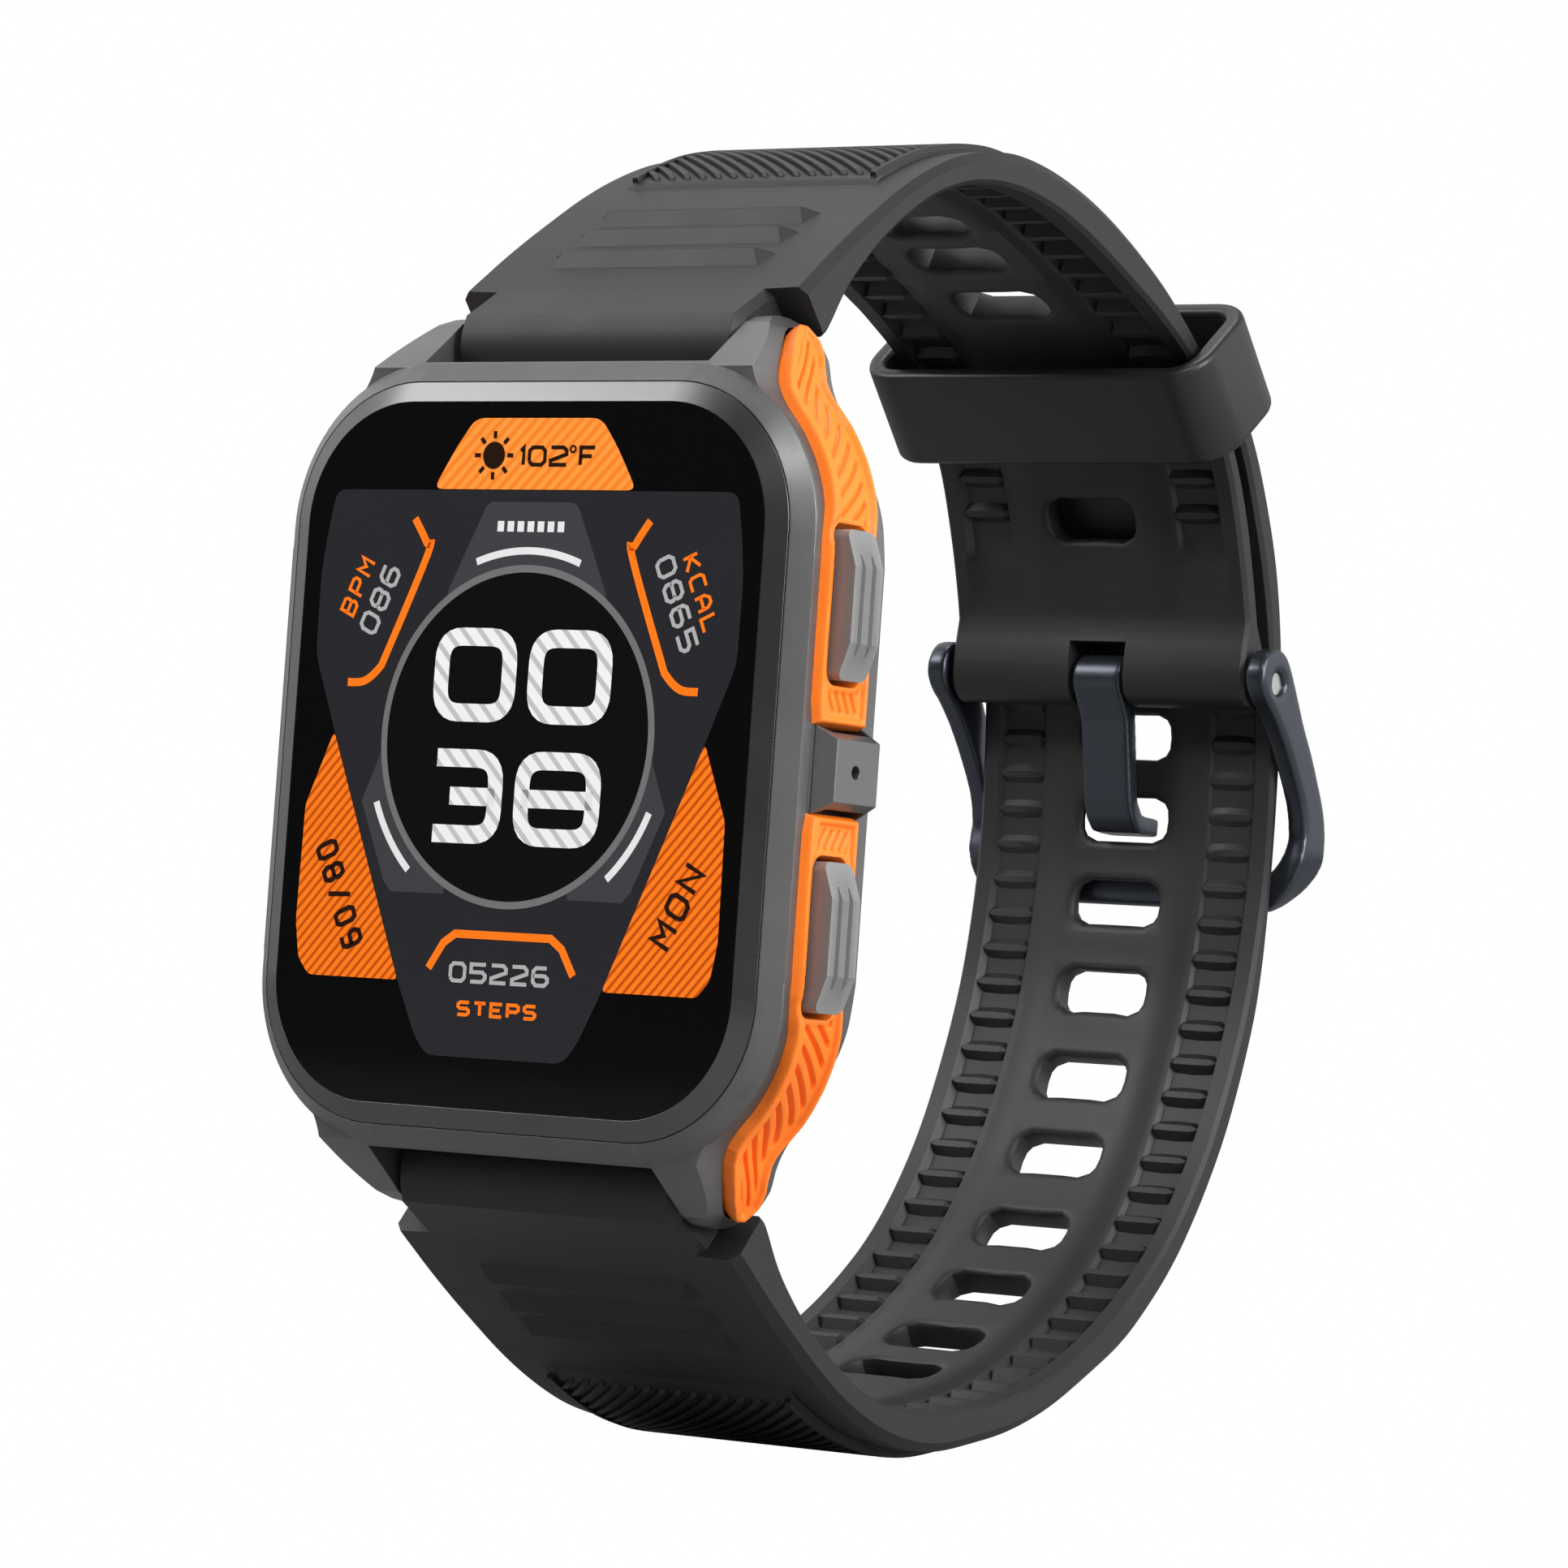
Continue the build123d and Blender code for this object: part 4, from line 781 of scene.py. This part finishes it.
def panel_piece(name, line, s_a, s_b, body, sgn):
    """Raised panel with a bevelled edge and curved slanting ribs."""
    v, f = [], []
    n = 44
    sec = [(9.9, -0.3), (9.9, 0.12), (9.55, 0.3), (-9.55, 0.3), (-9.9, 0.12), (-9.9, -0.3)]
    stn = [s_a, s_a + 0.35] + [s_a + 0.7 + (s_b - s_a - 0.7) * k / n for k in range(n + 1)]
    for j, s in enumerate(stn):
        kf = [0.0, 0.6][j] if j < 2 else 1.0
        for x, h in sec:
            v.append(surf_pt(line, s, h * kf if h > 0 else h, x))
    for j in range(len(stn) - 1):
        for a in range(6):
            b = (a + 1) % 6
            f.append((j * 6 + a, (j + 1) * 6 + a, (j + 1) * 6 + b, j * 6 + b))
    f.append(tuple(range(5, -1, -1)))
    f.append(tuple(range((len(stn) - 1) * 6, len(stn) * 6)))
    o_ = new_mesh(name + "_base", v, f, M["rubber"], body, sharp=25)
    v, f = [], []
    L_ = s_b - s_a
    pitch, wr = 1.24, 0.40
    for r in range(-16, 60):
        x0 = -9.3 + r * pitch
        pts = []
        ds = 0.95
        while ds < L_ - 0.3:
            x = x0 - 1.06 * ds - 0.02 * ds * ds
            if abs(x) <= 9.25:
                pts.append((x, s_a + ds))
            ds += 0.25
        if len(pts) < 3:
            continue
        b0 = len(v)
        m_ = len(pts)
        for q, (x, s) in enumerate(pts):
            e = 0.55 if q in (0, m_ - 1) else 1.0
            for dx, h in ((-wr, 0.2), (-wr * 0.62 * e, 0.6 * e), (wr * 0.62 * e, 0.6 * e), (wr, 0.2)):
                v.append(surf_pt(line, s, h, x + dx))
        for q in range(m_ - 1):
            for a in range(4):
                c = (a + 1) % 4
                f.append((b0 + q * 4 + a, b0 + (q + 1) * 4 + a, b0 + (q + 1) * 4 + c, b0 + q * 4 + c))
        f.append((b0 + 3, b0 + 2, b0 + 1, b0))
        e = b0 + (m_ - 1) * 4
        f.append((e, e + 1, e + 2, e + 3))
    new_mesh(name + "_ribs", v, f, M["rubber"], body, sharp=28)
    # raised border along both sides
    v, f = [], []
    for sx in (1, -1):
        b0 = len(v)
        for s in stn[2:]:
            for x, h in ((9.72, 0.1), (9.6, 0.58), (9.25, 0.6), (9.1, 0.2)):
                v.append(surf_pt(line, s, h, sx * x))
        m_ = len(stn) - 2
        for q in range(m_ - 1):
            for a in range(4):
                c = (a + 1) % 4
                f.append((b0 + q * 4 + a, b0 + (q + 1) * 4 + a, b0 + (q + 1) * 4 + c, b0 + q * 4 + c))
        f.append((b0, b0 + 1, b0 + 2, b0 + 3))
        e = b0 + (m_ - 1) * 4
        f.append((e + 3, e + 2, e + 1, e))
    new_mesh(name + "_edge", v, f, M["rubber"], body, sharp=28)


def serration(name, line, other, s_a, s_b, body):
    """Boat-shaped cross ridges in the two recessed inner columns."""
    v, f = [], []
    s = s_a + 1.6
    while s < s_b - 1.2:
        p0 = line.at(s)
        thick = float(np.min(np.hypot(other.p[:, 0] - p0[0], other.p[:, 1] - p0[1])))
        deep = min(0.95, 0.85 * min(1.0, thick / 2.6) + 0.1)
        for sx in (1, -1):
            b0 = len(v)
            for x, ht, wb, wt in ((6.75, 0.3, 0.34, 0.06), (7.2, 0.04, 0.78, 0.22), (8.6, 0.04, 0.86, 0.24), (10.0, 0.04, 0.78, 0.22), (10.5, 0.1, 0.34, 0.06)):
                for ds, h in ((-wb, deep), (-wt, min(ht, deep * 0.6)), (wt, min(ht, deep * 0.6)), (wb, deep)):
                    p = line.at(s + ds) + line.nrm(s) * h
                    v.append(P(sx * x, p[0], p[1]))
            for q in range(4):
                for a in range(4):
                    c = (a + 1) % 4
                    f.append((b0 + q * 4 + a, b0 + (q + 1) * 4 + a, b0 + (q + 1) * 4 + c, b0 + q * 4 + c))
            f.append((b0, b0 + 1, b0 + 2, b0 + 3))
            f.append((b0 + 19, b0 + 18, b0 + 17, b0 + 16))
        s += 2.46
    if v:
        new_mesh(name, v, f, M["rubber"], body, sharp=28)


for line, body, nm, sgn in ((top_o, "top_strap", "top", 1), (bot_o, "bottom_strap", "bottom", -1)):
    for i, (d, z) in enumerate(((10.57, 32.23), (12.77, 33.93), (15.03, 35.59))):
        wedge_piece(f"{nm}_wedge_{i + 1}", line, line.near((d, z * sgn)), body)
    a = line.near((19.0, 38.0 * sgn))
    b = line.near((36.5 if sgn > 0 else 57.0, 41.3 if sgn > 0 else -32.3))
    panel_piece(f"{nm}_ribbed_panel", line, a, min(b, a + 30), body, sgn)
serration("top_serration", top_i, top_o, top_i.near((20, 36.4)), top_i.near((62.15, 18.6)), "top_strap")
serration("bottom_serration", bot_i, bot_o, bot_i.near((18.5, -35.2)), bot_i.near((59.2, 29.2)), "bottom_strap")

# ------------------------------------------------------------------ bumpers
WALL = smooth_line([(20.3, 0.0), (20.3, 6.0), (20.3, 12.6), (20.15, 14.0), (19.9, 15.5), (19.35, 17.0), (18.5, 18.5),
                    (17.8, 19.5), (17.05, 20.5), (16.25, 21.5), (15.5, 22.5), (14.95, 23.5), (14.6, 24.5),
                    (14.2, 25.5), (13.6, 26.5), (12.9, 27.35), (12.1, 28.0)], 6)
FRONT = [(2.6, 1.9), (3.9, 1.7), (8, 1.66), (12.0, 1.7), (13.6, 1.85), (15.0, 2.15), (16.0, 2.5), (17.0, 2.75), (18.0, 3.05),
         (19.0, 3.3), (20.0, 3.5), (21.0, 3.55), (22.0, 3.45), (23.0, 3.5), (24.0, 3.85), (25.0, 4.45),
         (26.0, 5.3), (26.85, 6.4), (27.3, 7.3)]
BACK = [(2.6, 7.0), (10, 7.0), (14.0, 6.95), (15.0, 7.2), (16.0, 7.5), (17.0, 7.75), (18.0, 8.05), (19.0, 8.35), (20.0, 8.6),
        (21.0, 8.75), (22.0, 8.6), (23.0, 8.3), (23.8, 8.2), (24.7, 8.35), (25.5, 8.65), (26.3, 8.75), (27.0, 8.3), (27.3, 7.9)]


def step01(a, b, t):
    t = min(1.0, max(0.0, (t - a) / (b - a)))
    return t * t * (3 - 2 * t)


def bumper_piece(name, node, sx, sz):
    """Bumper skin: rounded lip all round, sunk floor with slanting ribs, recess round the button."""
    proud = 0.62 if sx > 0 else 0.22
    nz_, nv = 300, 84
    z0, z1 = 2.62, 27.28
    verts_f, verts_b = [], []
    open_at = set()
    for a in range(nz_ + 1):
        z = z0 + (z1 - z0) * a / nz_
        df = float(np.interp(z, [q[0] for q in FRONT], [q[1] for q in FRONT]))
        db = float(np.interp(z, [q[0] for q in BACK], [q[1] for q in BACK]))
        x = float(np.interp(z, WALL[:, 1], WALL[:, 0]))
        xa = float(np.interp(z + 0.3, WALL[:, 1], WALL[:, 0]))
        xb = float(np.interp(z - 0.3, WALL[:, 1], WALL[:, 0]))
        tz, tx = 0.6, xa - xb
        l = math.hypot(tz, tx)
        nx_, nz2 = tz / l, -tx / l
        Wd = db - df
        for b in range(nv + 1):
            v = b / nv
            d = df + Wd * v
            edge = min(d - df, db - d, (z - z0) * 1.1, (z1 - z) * 1.6 + 0.02)
            fr = d - df
            lip = step01(-0.05, 0.35, edge)
            rest_ = min(db - d, (z - z0) * 1.1, (z1 - z) * 1.4 + 0.02)
            down = min(step01(0.85, 1.15, fr), step01(0.5, 0.8, rest_))
            h = -0.2 + (proud + 0.2) * lip - proud * 0.5 * down
            # slanting ribs on the floor
            c_ = 0.62 + 0.42 * step01(20.0, 25.5, z)
            slope = z - c_ * (d - 4.3) - 0.03 * (d - 4.3) ** 2
            if z < 5.4:
                slope = z * 0.7 + d * 1.25
            ph = (slope / 0.97) % 1.0
            slit = step01(0.0, 0.16, ph) * (1 - step01(0.34, 0.5, ph))
            h -= 0.5 * proud * slit * min(step01(1.25, 1.5, fr), step01(0.9, 1.12, rest_))
            # button recess
            if sx > 0:
                bx = abs(z - 10.0) - (9.1 / 2 - 0.6)
                bd = abs(d - 4.33) - (2.92 / 2 - 0.6)
                r = math.hypot(max(bx, 0), max(bd, 0)) + min(max(bx, bd), 0) - 0.6
                lip2 = 1 - step01(0.5, 0.85, r)
                h = h * (1 - lip2) + 0.42 * lip2
                h = h * step01(0.12, 0.34, r) - 1.3 * (1 - step01(0.12, 0.34, r))
                if r < 0.12:
                    open_at.add((a, b))
            verts_f.append(P(sx * (x + nx_ * h), d, sz * (z + nz2 * h)))
            hb = -1.4 + 0.75 * step01(22.5, 24.0, z)
            verts_b.append(P(sx * (x + nx_ * hb), d, sz * (z + nz2 * hb)))
    n = nv + 1
    V = verts_f + verts_b
    off = len(verts_f)
    f = []
    def gone(a, b):
        return all(c in open_at for c in ((a, b), (a, b + 1), (a + 1, b), (a + 1, b + 1)))

    for a in range(nz_):
        for b in range(nv):
            q = (a * n + b, a * n + b + 1, (a + 1) * n + b + 1, (a + 1) * n + b)
            if gone(a, b):
                for (da, db_), (p, r_) in (((-1, 0), (q[0], q[1])), ((0, 1), (q[1], q[2])), ((1, 0), (q[2], q[3])), ((0, -1), (q[3], q[0]))):
                    if not gone(a + da, b + db_):
                        f.append((p, r_, off + r_, off + p))
                continue
            f.append(q)
            f.append(tuple(off + t for t in q[::-1]))
    ring = [(0, b) for b in range(nv)] + [(a, nv) for a in range(nz_)] + [(nz_, b) for b in range(nv, 0, -1)] + [(a, 0) for a in range(nz_, 0, -1)]
    for i in range(len(ring)):
        a, b = ring[i]
        c, d = ring[(i + 1) % len(ring)]
        p, q = a * n + b, c * n + d
        f.append((q, p, off + p, off + q))
    o_ = new_mesh(name, V, f, M["orange"], "case", sharp=50)
    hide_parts(node)


for nm, node, sx, sz in (("bumper_skin_ru", "right_upper_bumper", 1, 1), ("bumper_skin_rl", "right_lower_bumper", 1, -1),
                         ("bumper_skin_lu", "left_upper_bumper", -1, 1), ("bumper_skin_ll", "left_lower_bumper", -1, -1)):
    bumper_piece(nm, node, sx, sz)


# ------------------------------------------------------------------ keeper
def rr_loop(hx, hy, r, n=8):
    pts = []
    for cx, cy, a0 in ((hx - r, hy - r, 0), (-hx + r, hy - r, 90), (-hx + r, -hy + r, 180), (hx - r, -hy + r, 270)):
        for k in range(n + 1):
            a = math.radians(a0 + 90 * k / n)
            pts.append((cx + r * math.cos(a), cy + r * math.sin(a)))
    return pts


KA, KB = np.array((51.5, 29.95)), np.array((56.15, 24.3))
kdir = (KB - KA) / np.hypot(*(KB - KA))
klen = float(np.hypot(*(KB - KA)))
kn = np.array((-kdir[1], kdir[0]))
kdep = 9.3
kc = (KA + KB) / 2 + kn * kdep / 2
outer_l = rr_loop(13.95, kdep / 2, 3.0)
inner_l = rr_loop(13.95 - 1.45, kdep / 2 - 1.2, 1.4)
v, f = [], []
secs = []
er = 0.45
for (xo_, yo_), (xi_, yi_) in zip(outer_l, inner_l):
    ring = []
    wx, wy = xo_ - xi_, yo_ - yi_
    wl = math.hypot(wx, wy)
    ux, uy = wx / wl, wy / wl
    hl = klen / 2
    prof = []
    for (ct, cl, a0) in ((wl - er, hl - er, 0), (er, hl - er, 90), (er, -hl + er, 180), (wl - er, -hl + er, 270)):
        for k in range(5):
            a = math.radians(a0 + 90 * k / 4)
            prof.append((ct + er * math.cos(a), cl + er * math.sin(a)))
    for t, l in prof:
        x, y = xi_ + ux * t, yi_ + uy * t
        p = kc + kn * y + kdir * l
        v.append(P(x, p[0], p[1]))
    secs.append(len(prof))
m_ = secs[0]
nl = len(outer_l)
for a in range(nl):
    b = (a + 1) % nl
    for k in range(m_):
        k2 = (k + 1) % m_
        f.append((a * m_ + k, a * m_ + k2, b * m_ + k2, b * m_ + k))
keeper = new_mesh("keeper_band", v, f, M["rubber_soft"], "keeper", sharp=40)
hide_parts("keeper_loop")

# rounded buckle: the frame and tang keep their nodes, edges are softened
for n_, w_ in (("buckle_frame", 0.16), ("buckle_tang", 0.16)):
    md = NODES[n_].modifiers.new("Skin", "REMESH")
    md.mode = "VOXEL"
    md.voxel_size = w_ * MM
    md.use_smooth_shade = True
    sm = NODES[n_].modifiers.new("Soft", "SMOOTH")
    sm.factor = 0.5
    sm.iterations = 14


# ------------------------------------------------------------------ stage
scene = bpy.context.scene
fl = bpy.data.meshes.new("floor")
fl.from_pydata([(-6, -6, -0.0432), (6, -6, -0.0432), (6, 6, -0.0432), (-6, 6, -0.0432)], [], [(0, 1, 2, 3)])
floor = bpy.data.objects.new("floor", fl)
scene.collection.objects.link(floor)
fm = bpy.data.materials.new("floor_pale")
fm.use_nodes = True
nt = fm.node_tree
nt.nodes.clear()
out = nt.nodes.new("ShaderNodeOutputMaterial")
lp = nt.nodes.new("ShaderNodeLightPath")
mixs = nt.nodes.new("ShaderNodeMixShader")
df = nt.nodes.new("ShaderNodeBsdfDiffuse")
df.inputs[0].default_value = (0.32, 0.32, 0.32, 1)
em = nt.nodes.new("ShaderNodeEmission")
em.inputs[0].default_value = (1, 1, 1, 1)
em.inputs[1].default_value = 1.0
nt.links.new(lp.outputs["Is Camera Ray"], mixs.inputs[0])
nt.links.new(df.outputs[0], mixs.inputs[1])
nt.links.new(em.outputs[0], mixs.inputs[2])
nt.links.new(mixs.outputs[0], out.inputs[0])
fl.materials.append(fm)

# soft studio surround: brightness depends on direction, camera rays see plain white
w = bpy.data.worlds.new("studio")
scene.world = w
w.use_nodes = True
nt = w.node_tree
nt.nodes.clear()
N, L = nt.nodes.new, nt.links.new
wout = N("ShaderNodeOutputWorld")
bgc = N("ShaderNodeBackground")
bgc.inputs[0].default_value = (1, 1, 1, 1)
bgl = N("ShaderNodeBackground")
lp = N("ShaderNodeLightPath")
mx = N("ShaderNodeMixShader")
L(lp.outputs["Is Camera Ray"], mx.inputs[0])
L(bgl.outputs[0], mx.inputs[1])
L(bgc.outputs[0], mx.inputs[2])
L(mx.outputs[0], wout.inputs[0])
tc = N("ShaderNodeTexCoord")
acc = None
AMBIENT = 0.07
LOBES = [  # direction, start of falloff (cos), full (cos), strength
    ((1.0, 0.35, 0.05), 0.25, 0.95, 1.15),
    ((0.9, 0.9, 0.25), 0.3, 0.95, 0.5),
    ((-0.8, -0.1, 0.65), 0.6, 0.98, 0.95),
    ((-0.8, 0.7, 0.3), 0.3, 0.95, 0.55),
]
for dirn, c0, c1, s in LOBES:
    v = Vector(dirn).normalized()
    dot = N("ShaderNodeVectorMath")
    dot.operation = "DOT_PRODUCT"
    L(tc.outputs["Generated"], dot.inputs[0])
    dot.inputs[1].default_value = v
    mr = N("ShaderNodeMapRange")
    mr.interpolation_type = "SMOOTHSTEP"
    mr.inputs["From Min"].default_value = c0
    mr.inputs["From Max"].default_value = c1
    mr.inputs["To Max"].default_value = s
    L(dot.outputs["Value"], mr.inputs[0])
    if acc is None:
        add = N("ShaderNodeMath")
        add.operation = "ADD"
        add.inputs[1].default_value = AMBIENT
        L(mr.outputs[0], add.inputs[0])
    else:
        add = N("ShaderNodeMath")
        add.operation = "ADD"
        L(acc, add.inputs[0])
        L(mr.outputs[0], add.inputs[1])
    acc = add.outputs[0]
L(acc, bgl.inputs["Strength"])


def area(name, loc, target, size, power, sy=None):
    ld = bpy.data.lights.new(name, "AREA")
    ld.shape = "RECTANGLE"
    ld.size = size * MM
    ld.size_y = (sy or size) * MM
    ld.energy = power
    lo = bpy.data.objects.new(name, ld)
    scene.collection.objects.link(lo)
    loc = Vector(P(*loc))
    d = Vector(P(*target)) - loc
    lo.location = loc
    lo.rotation_euler = d.to_track_quat("-Z", "Y").to_euler()
    return lo


area("key_right", (420, -20, 150), (0, 20, 0), 200, 1.9)
area("top_soft", (-60, 60, 420), (0, 40, 0), 120, 0.5)
area("inner_top", (210, -330, 330), (0, 62, -12), 90, 0.9)
area("fill_left", (-330, -260, 300), (0, 10, 0), 200, 1.1)

# ------------------------------------------------------------------ camera
AZ, EL, ROLL, DIST = math.radians(35.91), math.radians(-2.492), math.radians(4.021), 403.174
back = Vector((math.sin(AZ) * math.cos(EL), -math.cos(AZ) * math.cos(EL), math.sin(EL)))
right = Vector((math.cos(AZ), math.sin(AZ), 0))
up = back.cross(right)
xc = math.cos(ROLL) * right + math.sin(ROLL) * up
yc = -math.sin(ROLL) * right + math.cos(ROLL) * up
tgt = Vector((19.986, -10.8, -1.083))
loc = (tgt + back * DIST) * MM
cam_data = bpy.data.cameras.new("camera")
cam_data.sensor_width = 36
cam_data.sensor_fit = "HORIZONTAL"
cam_data.lens = 8339.433 / 1932 * 36
cam_data.clip_start = 0.01
cam_data.clip_end = 50
cam = bpy.data.objects.new("camera", cam_data)
scene.collection.objects.link(cam)
cam.matrix_world = Matrix((
    (xc.x, yc.x, back.x, loc.x),
    (xc.y, yc.y, back.y, loc.y),
    (xc.z, yc.z, back.z, loc.z),
    (0, 0, 0, 1)))
scene.camera = cam
scene.view_settings.view_transform = "Standard"
scene.view_settings.look = "None"
scene.view_settings.exposure = 0.0
scene.view_settings.gamma = 1.0
